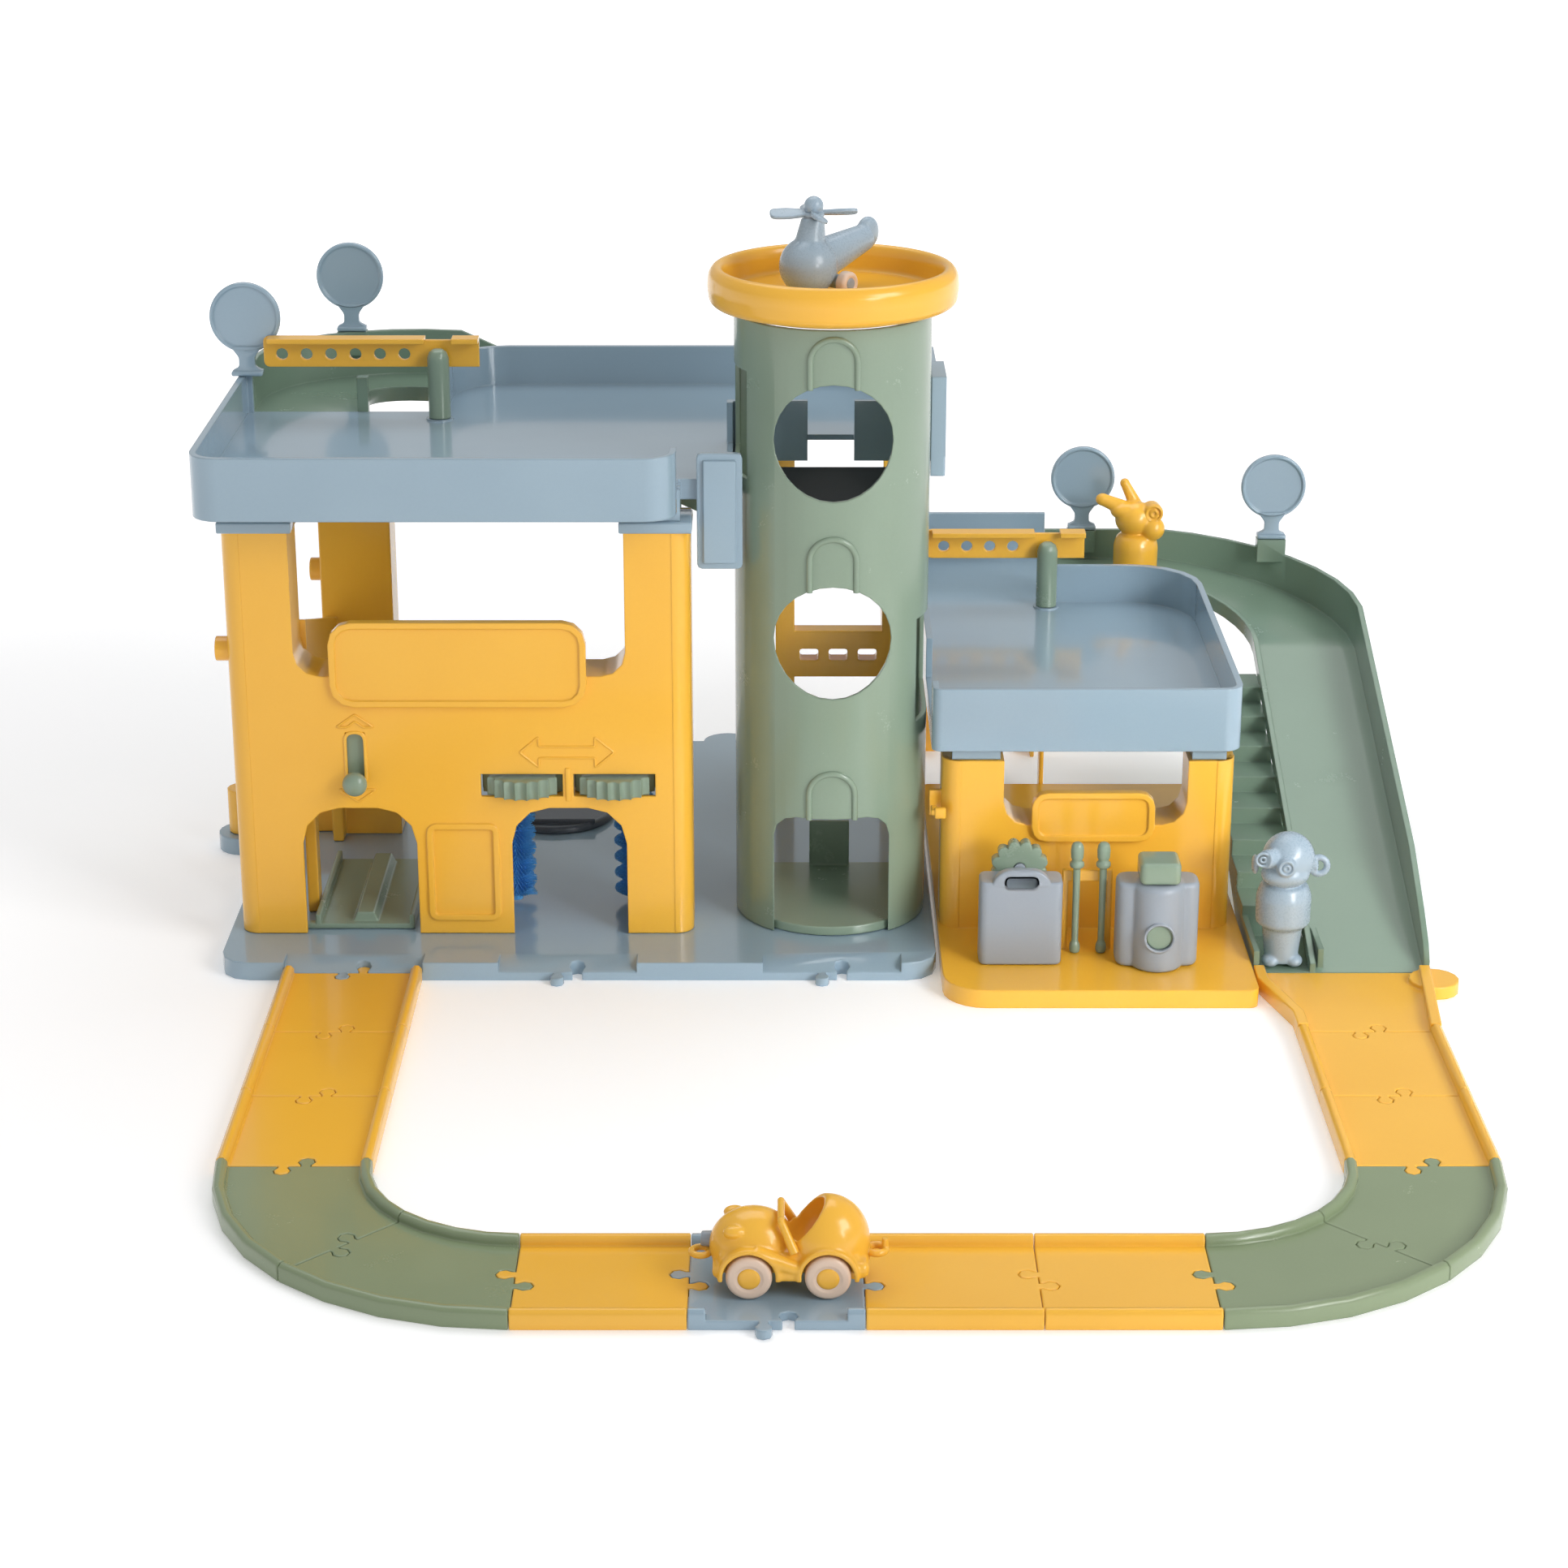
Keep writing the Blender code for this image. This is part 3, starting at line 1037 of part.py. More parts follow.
def make_upper_deck(parent):
    deck = tray("upper_deck", deck_corners(), DECK_BOTTOM, DECK_FLOOR, DECK_TOP)
    wall = DECK_WALL + 0.5 * MM
    tower = TOWER_RADIUS + TOWER_CLEAR
    lane = CLIMB_WIDTH - 2 * RAMP_WALL
    mouth = climb_left() + RAMP_WALL
    cut(deck, box(mouth, mouth + lane, RAMP_MOUTH_Y - wall - REACH, RAMP_MOUTH_Y + REACH, DECK_FLOOR,
                  DECK_TOP + REACH),
        box(mouth + lane - 1 * MM, RAMP_MOUTH_X - REACH, RAMP_MOUTH_Y - wall, RAMP_MOUTH_Y + REACH,
            DECK_FLOOR, DECK_TOP + REACH),
        box(-tower - wall, -tower + REACH, SHELF_FRONT - REACH, TOWER_BACK - 2 * MM, DECK_FLOOR,
            DECK_TOP + REACH),
        box(DECK_RIGHT - wall, -tower + REACH, SHELF_FRONT - SHELF_MOUTH, SHELF_FRONT + wall, DECK_FLOOR,
            DECK_TOP + REACH))
    guard = box(tower, DECK_REAR_RIGHT, GUARD_FRONT, TOWER_BACK + TOWER_CLEAR + REACH, DECK_FLOOR, GUARD_TOP)
    pillar = REACH
    collars = [(WALL_LEFT + pillar, WINDOW_LEFT - COLLAR_INSET), (WINDOW_RIGHT + COLLAR_INSET,
                                                                  WALL_RIGHT - pillar)]
    fuse(deck, guard)
    for x0, x1 in collars:
        fuse(deck, box(x0, x1, WALL_FRONT + COLLAR_INSET, WALL_FRONT + WALL_DEPTH - COLLAR_INSET,
                       WALL_TOP + GAP, DECK_FLOOR - DECK_PLATE / 2))
    fuse(deck, disc(POST_SEAT_RADIUS, DECK_FLOOR - DECK_PLATE / 2, DECK_FLOOR + POST_SEAT_HEIGHT, 18,
                    (POST_X, POST_Y)))
    grip = LIFT_GRIP_WIDTH / 2 + 1.5 * MM
    back = TOWER_BACK + LIFT_GRIP_REACH + 2 * MM
    cut(deck, box(-grip, grip, TOWER_BACK - REACH, back, DECK_BOTTOM - REACH, DECK_TOP + REACH))
    for i in range(2):
        y = SLOT_FRONT + i * SLOT_PITCH
        cut(deck, box(SLOT_X, SLOT_X + SLOT_LENGTH, y, y + SLOT_WIDTH, DECK_FLOOR - DECK_PLATE - REACH,
                      DECK_FLOOR + REACH))
    return finish(deck, BLUE, parent, roughness=0.22)


def make_deck_guard(parent):
    # The gate that hangs on the front edge of the deck, beside the tower.
    corners = rect(BRACKET_LEFT, BRACKET_RIGHT, BRACKET_BOTTOM, BRACKET_TOP)
    back = SHELF_FRONT - GAP
    guard = to_object("deck_guard", prism(rounded(corners, BRACKET_CORNER, 2), back - BRACKET_THICK, back,
                                          "XZ"))
    inner = rounded_inset(corners, [BRACKET_CORNER] * 4, BRACKET_BORDER, 2)
    fuse(guard, prism(inner, back - BRACKET_THICK - BRACKET_PROUD, back - 1 * MM, "XZ"))
    return finish(guard, BLUE, parent)


# Tower

def tower_plan(radius, back):
    return arc((0.0, 0.0), radius, 180.0, 360.0, TOWER_SIDES // 2) + [(radius, back), (-radius, back)]


def make_tower(parent):
    foot = BASE_THICK + GAP
    shell = to_object("tower_shell", prism(tower_plan(TOWER_RADIUS, TOWER_BACK), foot, TOWER_TOP))
    inner = TOWER_RADIUS - SKIN
    lip = inner - TOWER_LIP
    room = arc((0.0, 0.0), inner, 180.0, 360.0, TOWER_SIDES // 2) + \
        [(inner, TOWER_BACK - SKIN), (lip, TOWER_BACK - SKIN), (lip, TOWER_BACK + REACH),
         (-lip, TOWER_BACK + REACH), (-lip, TOWER_BACK - SKIN), (-inner, TOWER_BACK - SKIN)]
    cut(shell, prism(room, foot - REACH, TOWER_TOP + REACH))
    front = -TOWER_RADIUS - REACH
    for z in (PORTHOLE_LOWER, PORTHOLE_UPPER):
        cut(shell, disc(PORTHOLE_RADIUS, front, 0.0, 28, (0.0, z), "XZ"))
    cut(shell, arch_cut(0.0, DOOR_WIDTH, DOOR_TOP, DOOR_CORNER, front, 0.0))
    back = TOWER_BACK - SKIN - 2 * MM
    for side, floor in ((-1, DECK_FLOOR), (1, LOW_FLOOR)):
        x0, x1 = sorted((side * SIDE_DOOR_X, side * (TOWER_RADIUS + REACH)))
        cut(shell, box(x0, x1, SIDE_DOOR_FRONT, back, floor, floor + SIDE_DOOR_HEIGHT))
    return finish(shell, GREEN, parent)


def make_lift(parent):
    # The cage floor slides up inside the tower. Its grip comes out of the open back.
    radius = TOWER_RADIUS - SKIN - RUN_GAP
    back = TOWER_BACK - SKIN - RUN_GAP
    lift = to_object("lift_platform", prism(tower_plan(radius, back), 0.0, LIFT_THICK))
    neck = LIFT_GRIP_WIDTH / 2
    fuse(lift, box(-neck, neck, back - REACH, TOWER_BACK + LIFT_GRIP_REACH, 0.0, LIFT_THICK),
         box(-neck, neck, back - REACH, back - 2 * MM, LIFT_THICK - 1 * MM, LIFT_THICK + LIFT_BACK_HEIGHT))
    return finish(lift, GREEN, parent, (0, 0, BASE_THICK + GAP))


def make_helipad(parent):
    shoulder = TOWER_RADIUS - 1 * MM
    spigot = TOWER_RADIUS - SKIN - RUN_GAP
    inside = PAD_RADIUS - PAD_RIM
    mid = (PAD_BOTTOM + PAD_TOP) / 2
    profile = [(0.0, PAD_FLOOR - PAD_PLATE), (spigot - SKIN, PAD_FLOOR - PAD_PLATE),
               (spigot - SKIN, TOWER_TOP - PAD_SPIGOT_DEPTH), (spigot, TOWER_TOP - PAD_SPIGOT_DEPTH),
               (spigot, TOWER_TOP + GAP), (shoulder, TOWER_TOP + GAP), (shoulder + PAD_EDGE, PAD_BOTTOM),
               (PAD_RADIUS - PAD_EDGE, PAD_BOTTOM), (PAD_RADIUS - PAD_BULGE, PAD_BOTTOM + PAD_EDGE),
               (PAD_RADIUS, mid), (PAD_RADIUS - PAD_BULGE, PAD_TOP - PAD_EDGE),
               (PAD_RADIUS - PAD_CROWN, PAD_TOP),
               (inside + PAD_EDGE / 3, PAD_TOP - PAD_EDGE / 2), (inside - PAD_EDGE / 2, PAD_FLOOR),
               (0.0, PAD_FLOOR)]
    pad = to_object("helipad_ring", turned(profile, PAD_SIDES))
    cut(pad, box(-PAD_RADIUS, PAD_RADIUS, SPIGOT_BACK, PAD_RADIUS, TOWER_TOP - PAD_SPIGOT_DEPTH - REACH,
                 TOWER_TOP + GAP / 2))
    return finish(pad, YELLOW, parent)


# Lower deck and its landing

def low_corners():
    return [((LOW_LEFT, LOW_FRONT), LOW_CORNER / 2), ((LOW_RIGHT, LOW_FRONT), LOW_CORNER),
            ((LOW_RIGHT, LOW_BACK), LOW_BACK_CORNER), ((LANDING_RIGHT, LOW_BACK), 1.5 * MM),
            ((LANDING_RIGHT, LANDING_BACK), 1.5 * MM), ((LOW_LEFT, LANDING_BACK), 4.0 * MM)]


def make_lower_deck(parent):
    deck = tray("lower_deck", low_corners(), LOW_BOTTOM, LOW_FLOOR, LOW_TOP)
    wall = DECK_WALL + 0.5 * MM
    inner_x0 = LOW_LEFT - REACH
    top = LOW_TOP + REACH
    slide_front = RAMP_BEND_Y + RAMP_INNER_RADIUS + RAMP_WALL
    cut(deck, box(inner_x0, LOW_LEFT + wall, SIDE_DOOR_FRONT, TOWER_BACK - SKIN, LOW_FLOOR, top),
        box(LANDING_RIGHT - wall, LANDING_RIGHT + REACH, slide_front, LANDING_BACK - DECK_WALL, LOW_FLOOR,
            top),
        box(inner_x0, LOW_LEFT + wall, DECK_BACK + GAP + RAMP_WALL, climb_back() - RAMP_WALL, LOW_FLOOR,
            top))
    pillar = REACH
    spots = [(SHOP_LEFT + pillar, SHOP_WINDOW_LEFT - COLLAR_INSET),
             (SHOP_WINDOW_RIGHT + COLLAR_INSET, SHOP_RIGHT - pillar)]
    for x0, x1 in spots:
        fuse(deck, box(x0, x1, SHOP_FRONT + COLLAR_INSET, SHOP_FRONT + SHOP_DEPTH - COLLAR_INSET,
                       SHOP_TOP + GAP,
                       LOW_FLOOR - DECK_PLATE / 2))
    fuse(deck, box(LOW_LEFT + LOW_CORNER, LANDING_RIGHT, LANDING_BACK - DECK_WALL, LANDING_BACK,
                   LOW_TOP - 1 * MM,
                   LANDING_TOP),
         disc(POST_SEAT_RADIUS, LOW_FLOOR - DECK_PLATE / 2, LOW_FLOOR + POST_SEAT_HEIGHT, 18,
              (LOW_POST_X, LOW_POST_Y)))
    return finish(deck, BLUE, parent, roughness=0.22)


def make_landing_frame(parent):
    # Carries the landing behind the lower deck, on the floor behind the shop's foot plate.
    front, back = SHOP_FOOT_BACK + GAP, LANDING_BACK - LANDING_INSET - SKIN
    left, right = LOW_LEFT + LANDING_INSET, LANDING_RIGHT - LANDING_INSET
    frame = to_object("landing_frame", box(left, right, front, back, 0.0, LOW_BOTTOM - GAP))
    cut(frame, box(left + SKIN, right - SKIN, front - REACH, back - SKIN, -REACH, LOW_BOTTOM + REACH))
    corners = [0, 0, LANDING_ARCH_CORNER, LANDING_ARCH_CORNER]
    outline = rounded(rect(left + LANDING_LEG, right - LANDING_LEG, -REACH, LANDING_ARCH_TOP), corners)
    cut(frame, prism(outline, back - SKIN - REACH, back + REACH, "XZ"))
    side = rounded(rect(front + LANDING_LEG, back - LANDING_LEG, -REACH, LANDING_ARCH_TOP), corners)
    cut(frame, prism(side, left - REACH, right + REACH, "YZ"))
    return finish(frame, YELLOW, parent)


def climb_left():
    return RAMP_MOUTH_X - CLIMB_INNER_RADIUS - CLIMB_WIDTH


def climb_back():
    return CLIMB_CENTRE_Y + CLIMB_INNER_RADIUS + CLIMB_WIDTH


def climb_height(x):
    # The straight run behind the buildings falls evenly from the bend to the landing.
    high, end = DECK_FLOOR - CLIMB_BEND_DROP, LOW_LEFT - GAP
    return high + (LOW_FLOOR - high) * (x - RAMP_MOUTH_X) / (end - RAMP_MOUTH_X)


def lane_section(width, thick, wall, left_curb, right_curb):
    half = width / 2
    return [(-half, -thick), (half, -thick), (half, right_curb), (half - wall, right_curb),
            (half - wall, 0.0),
            (-half + wall, 0.0), (-half + wall, left_curb), (-half, left_curb)]


def seat_block(x, y, low, high):
    # A block on top of a wall that a sign stands on.
    half_x, half_y = SIGN_FOOT_WIDTH / 2, SIGN_FOOT_DEPTH / 2
    return box(x - half_x, x + half_x, y - half_y, y + half_y, low, high)


def make_upper_ramp(parent):
    middle = CLIMB_INNER_RADIUS + CLIMB_WIDTH / 2
    start_x = RAMP_MOUTH_X - middle
    stations = [(start_x, RAMP_MOUTH_Y + GAP, DECK_FLOOR, 90.0)]
    for i in range(RAMP_BEND_STEPS + 1):
        a = math.radians(90.0 * i / RAMP_BEND_STEPS)
        stations.append((RAMP_MOUTH_X - middle * math.cos(a), CLIMB_CENTRE_Y + middle * math.sin(a),
                         DECK_FLOOR - CLIMB_BEND_DROP * i / RAMP_BEND_STEPS, 90.0 - math.degrees(a)))
    stations.append((LOW_LEFT - GAP, CLIMB_CENTRE_Y + middle, LOW_FLOOR, 0.0))
    section = lane_section(CLIMB_WIDTH, RAMP_PLATE, RAMP_WALL, CLIMB_CURB, RAMP_INNER_CURB)
    ramp = to_object("upper_ramp", swept(section, stations))
    inner_x = RAMP_MOUTH_X - CLIMB_INNER_RADIUS
    y = RAMP_MOUTH_Y + GAP
    x2, y2 = sign_two_spot()
    fuse(ramp,
         box(inner_x - RAMP_WALL, inner_x + RAMP_WALL, y, y + 2 * RAMP_WALL, DECK_FLOOR - RAMP_PLATE / 2,
                   DECK_FLOOR + CLIMB_POST_HEIGHT),
         seat_block(x2, y2, SIGN_TWO_SEAT - SEAT_HEIGHT, SIGN_TWO_SEAT))
    return finish(ramp, GREEN, parent)


def sign_two_spot():
    reach = CLIMB_INNER_RADIUS + CLIMB_WIDTH - RAMP_WALL / 2
    a = math.radians(SIGN_TWO_ANGLE)
    return RAMP_MOUTH_X - reach * math.cos(a), CLIMB_CENTRE_Y + reach * math.sin(a)


# Slide ramp

def slide_height(y):
    return TILE_FLOOR + (RAMP_BEND_RISE - TILE_FLOOR) * (y - RAMP_FOOT_Y) / (RAMP_BEND_Y - RAMP_FOOT_Y)


def slide_lane():
    # The stations of the lane and the height of its outer wall at each one.
    middle = RAMP_INNER_RADIUS + (RAMP_RIGHT - RAMP_LEFT) / 2
    x = (RAMP_LEFT + RAMP_RIGHT) / 2
    stations, curbs = [], []
    for y, curb in ((RAMP_FOOT_Y, FOOT_CURB / 2), (RAMP_FOOT_Y + FOOT_CURB / 2, FOOT_CURB),
                    (RAMP_FOOT_Y + 2 * FOOT_CURB, 1.5 * FOOT_CURB), (RAMP_FOOT_Y + 5 * FOOT_CURB,
                                                                     RAMP_CURB_HEIGHT)):
        stations.append((x, y, slide_height(y), 90.0))
        curbs.append(curb)
    for i in range(RAMP_BEND_STEPS + 1):
        share = i / RAMP_BEND_STEPS
        a = math.radians(90.0 * share)
        stations.append((x - middle + middle * math.cos(a), RAMP_BEND_Y + middle * math.sin(a),
                         RAMP_BEND_RISE + (LOW_FLOOR - RAMP_BEND_RISE) * share, 90.0 + math.degrees(a)))
        curbs.append(RAMP_CURB_HEIGHT + (RAMP_LOW_CURB - RAMP_CURB_HEIGHT) * share)
    stations.append((LANDING_RIGHT + GAP, RAMP_BEND_Y + middle, LOW_FLOOR, 180.0))
    curbs.append(RAMP_LOW_CURB)
    return stations, curbs


def stair_outline():
    run = (STAIR_BACK_Y - STAIR_FRONT_Y) / STAIR_COUNT
    outline = [(STAIR_BACK_Y, slide_height(STAIR_BACK_Y) - STAIR_BASE), (STAIR_FRONT_Y + run / 2, 0.0),
               (STAIR_FRONT_Y, 0.0)]
    for i in range(STAIR_COUNT):
        y = STAIR_FRONT_Y + i * run
        tread = slide_height(y + run / 2) - STAIR_DROP
        outline += [(y, tread), (y + run, tread)]
    return outline[::-1]


def make_slide_ramp(parent):
    stations, curbs = slide_lane()
    width = RAMP_RIGHT - RAMP_LEFT
    sections = [lane_section(width, RAMP_PLATE, RAMP_WALL, RAMP_INNER_CURB, curb) for curb in curbs]
    ramp = to_object("slide_ramp", swept(sections, stations, 0.0))
    run = RAMP_PLATE
    fuse(ramp, prism(stair_outline(), STAIR_LEFT, RAMP_LEFT + 1 * MM, "YZ"),
         box(STAIR_LEFT, RAMP_LEFT + RAMP_WALL, RAMP_FOOT_Y, STAIR_FRONT_Y + run, 0.0, TILE_FLOOR),
         box(STAIR_LEFT, STAIR_LEFT + RAMP_WALL, RAMP_FOOT_Y, STAIR_FRONT_Y + run, 0.0,
             TILE_FLOOR + FOOT_CURB),
         box(STAIR_LEFT + FOOT_RIDGE_SPREAD, STAIR_LEFT + FOOT_RIDGE_SPREAD + RAMP_WALL,
             RAMP_FOOT_Y + RAMP_WALL,
             STAIR_FRONT_Y, TILE_FLOOR / 2, TILE_FLOOR + FOOT_CURB),
         box(RAMP_LEG_LEFT, RAMP_LEG_RIGHT, RAMP_LEG_Y, RAMP_LEG_Y + RAMP_LEG_THICK, 0.0,
             slide_height(RAMP_LEG_Y) - RAMP_PLATE / 2),
         seat_block(*SIGN_THREE, SIGN_THREE_SEAT - SEAT_HEIGHT, SIGN_THREE_SEAT),
         seat_block(*SIGN_FOUR, SIGN_FOUR_SEAT - SEAT_HEIGHT, SIGN_FOUR_SEAT))
    return finish(ramp, GREEN, parent)


# Right building

def make_shop_wall(parent):
    window = (SHOP_WINDOW_LEFT, SHOP_WINDOW_RIGHT, SHOP_WINDOW_SILL, WINDOW_CORNER)
    wall = open_front(SHOP_LEFT, SHOP_RIGHT, SHOP_FRONT, SHOP_DEPTH, SHOP_FOOT_THICK - 1 * MM, SHOP_TOP,
                      WALL_CORNER,
                      window)
    wall.name = "right_front_wall"
    name_plate(wall, SHOP_PLATE_LEFT, SHOP_PLATE_RIGHT, SHOP_PLATE_BOTTOM, SHOP_PLATE_TOP, SHOP_PLATE_CORNER,
               SHOP_FRONT)
    foot = rounded(rect(SHOP_FOOT_LEFT, SHOP_FOOT_RIGHT, SHOP_FOOT_FRONT, SHOP_FOOT_BACK),
                   [SHOP_FOOT_CORNER, WALL_CORNER / 2, WALL_CORNER / 2, WALL_CORNER / 2], 6)
    thick = HOLDER_THICK
    back = HOLDER_FRONT + thick
    fuse(wall, prism(foot, 0.0, SHOP_FOOT_THICK),
         box(CLIP_LEFT, CLIP_RIGHT, SHOP_FRONT + WALL_CORNER, SHOP_FRONT + SHOP_DEPTH / 2, CLIP_BOTTOM,
             CLIP_TOP),
         box(HOLDER_LEFT, HOLDER_LEFT + thick, HOLDER_FRONT, back, SHOP_FOOT_THICK / 2, HOLDER_TOP),
         box(HOLDER_RIGHT - thick, HOLDER_RIGHT, HOLDER_FRONT, back, SHOP_FOOT_THICK / 2, HOLDER_TOP),
         box(HOLDER_LEFT + thick / 2, HOLDER_RIGHT - thick / 2, HOLDER_FRONT, back, HOLDER_BOTTOM,
             HOLDER_TOP))
    return finish(wall, YELLOW, parent)


def scalloped(radius, dip, count, centre=(0.0, 0.0)):
    # The rim of a thumb wheel: a ring of shallow round hollows.
    steps = 4 * count
    outline = []
    for i in range(steps):
        a = math.tau * i / steps
        r = radius - dip * (0.5 - 0.5 * math.cos(count * a))
        outline.append((centre[0] + r * math.cos(a), centre[1] + r * math.sin(a)))
    return outline


def make_fuel_can(parent):
    foot = SHOP_FOOT_THICK + GAP
    back = CAN_FRONT + CAN_DEPTH
    middle = (CAN_LEFT + CAN_RIGHT) / 2
    plan = rounded(rect(CAN_LEFT, CAN_RIGHT, CAN_FRONT, back), CAN_CORNER, 3)
    can = to_object("fuel_can", prism(plan, foot, CAN_SHOULDER))
    handle = rounded(rect(middle - CAN_HANDLE_HALF, middle + CAN_HANDLE_HALF, CAN_SHOULDER - REACH, CAN_TOP),
                     [0, 0, CAN_HANDLE_CORNER, CAN_HANDLE_CORNER])
    slot = rounded(rect(middle - CAN_HOLE_WIDTH / 2, middle + CAN_HOLE_WIDTH / 2, CAN_HOLE_BOTTOM,
                        CAN_HOLE_BOTTOM + CAN_HOLE_HEIGHT), CAN_HOLE_HEIGHT / 2.5)
    fuse(can, prism(handle, CAN_FRONT, CAN_FRONT + CAN_HANDLE_THICK, "XZ"))
    cut(can, prism(slot, CAN_FRONT - REACH, CAN_FRONT + CAN_HOLE_DEPTH, "XZ"))
    fuse(can, disc(PIN_RADIUS, back - SKIN, back + GAP + CAN_WHEEL_THICK, 14, (middle, CAN_WHEEL_Z), "XZ"))
    return finish(can, GREY, parent)


def make_can_wheel(parent):
    rim = scalloped(CAN_WHEEL_RADIUS, THUMB_SCALLOP_DEPTH, CAN_WHEEL_SCALLOPS)
    wheel = to_object("can_wheel", prism(rim, 0.0, CAN_WHEEL_THICK, "XZ"))
    cut(wheel, disc(PIN_RADIUS + GAP, -REACH, CAN_WHEEL_THICK + REACH, 14, (0.0, 0.0), "XZ"))
    at = ((CAN_LEFT + CAN_RIGHT) / 2, CAN_FRONT + CAN_DEPTH + GAP, CAN_WHEEL_Z)
    return finish(wheel, GREEN, parent, at)


def make_flask(parent):
    foot = SHOP_FOOT_THICK + GAP
    half = FLASK_WIDTH / 2
    front = FLASK_Y - FLASK_DEPTH / 2
    plan = rounded(rect(FLASK_X - half, FLASK_X + half, front, front + FLASK_DEPTH), FLASK_CORNER)
    flask = to_object("flask", prism(plan, foot, FLASK_TOP))
    lobe_y = FLASK_Y - FLASK_LOBE_FORWARD
    fuse(flask, disc(FLASK_LOBE_RADIUS, foot, FLASK_TOP + 1 * MM, 24, (FLASK_X, lobe_y)))
    rim = lobe_y - FLASK_LOBE_RADIUS
    fuse(flask, disc(FLASK_DIAL_RADIUS, rim - 1 * MM, lobe_y, 20, (FLASK_X, FLASK_DIAL_Z), "XZ"))
    finish(flask, GREY, parent)
    cap_half = FLASK_CAP_HALF
    plan = rounded(rect(-cap_half, cap_half, -cap_half, cap_half), FLASK_CAP_CORNER, 3)
    low = FLASK_TOP + 1 * MM + GAP
    cap = to_object("flask_cap", prism(plan, low, FLASK_CAP_TOP))
    return finish(cap, GREEN, parent, (FLASK_X, lobe_y, 0.0))


def make_tools(parent):
    low = SHOP_FOOT_THICK + GAP
    for side, x in zip(("left", "right"), TOOL_X):
        r, head, high = TOOL_SHAFT_RADIUS, TOOL_HEAD_RADIUS, TOOL_TOP - low
        collar = high - TOOL_COLLAR_DROP
        profile = [(0.0, 0.0), (TOOL_FOOT_RADIUS, 0.0), (TOOL_FOOT_RADIUS, TOOL_FOOT_HEIGHT),
                   (r, TOOL_FOOT_HEIGHT + r), (r, collar), (head, collar + TOOL_COLLAR_HEIGHT),
                   (head, collar + 2 * TOOL_COLLAR_HEIGHT), (0.75 * head, collar + 2.5 * TOOL_COLLAR_HEIGHT),
                   (0.85 * head, high - TOOL_BULB_DROP), (0.55 * head, high), (0.0, high)]
        tool = to_object("tool_" + side, turned(profile, 12))
        finish(tool, GREEN, parent, (x, TOOL_Y, low))


# Signs and barriers

def make_sign(name, x, y, seat, parent):
    # A bare round sign with a raised rim, on a short flared stem.
    centre = SIGN_FOOT_HEIGHT + SIGN_STEM_HEIGHT + SIGN_RADIUS
    half = SIGN_THICK / 2
    plate = to_object(name, disc(SIGN_RADIUS, -half, half, 26, (0.0, centre), "XZ"))
    stem = [(-SIGN_FOOT_WIDTH / 2, 0.0), (SIGN_FOOT_WIDTH / 2, 0.0), (SIGN_FOOT_WIDTH / 2, SIGN_FOOT_HEIGHT),
            (SIGN_STEM_WIDTH / 2, SIGN_FOOT_HEIGHT + SIGN_FLARE), (SIGN_STEM_WIDTH / 2, SIGN_STEM_HEIGHT),
            (SIGN_STEM_WIDTH, centre - SIGN_RADIUS + SIGN_FLARE),
            (-SIGN_STEM_WIDTH, centre - SIGN_RADIUS + SIGN_FLARE),
            (-SIGN_STEM_WIDTH / 2, SIGN_STEM_HEIGHT), (-SIGN_STEM_WIDTH / 2, SIGN_FOOT_HEIGHT + SIGN_FLARE),
            (-SIGN_FOOT_WIDTH / 2, SIGN_FOOT_HEIGHT)]
    depth = SIGN_FOOT_DEPTH / 2
    fuse(plate, prism(stem, -half, half, "XZ"),
         box(-SIGN_FOOT_WIDTH / 2, SIGN_FOOT_WIDTH / 2, -depth, depth, 0.0, SIGN_FOOT_HEIGHT))
    cut(plate, disc(SIGN_RADIUS - SIGN_RIM, -half - REACH, -half + SIGN_DISH, 26, (0.0, centre), "XZ"))
    return finish(plate, BLUE, parent, (x, y, seat + GAP))


def make_post(name, x, y, floor, parent):
    # The post stands on the low round seat that is moulded on its deck.
    radius = POST_RADIUS
    height = POST_HEIGHT
    seat = POST_SEAT_HEIGHT
    profile = [(0.0, seat), (radius, seat), (radius, height - POST_TIP),
               (radius * 0.8, height - POST_TIP / 3),
               (radius * 0.4, height), (0.0, height)]
    post = to_object(name, turned(profile, 18))
    pin_z = ARM_CLEAR_ABOVE_DECK + ARM_PIN_RISE
    fuse(post, disc(ARM_PIN_RADIUS, 0.0, radius + ARM_THICK + 2 * GAP, 12, (0.0, pin_z), "XZ"))
    return finish(post, GREEN, parent, (x, y, floor + GAP))


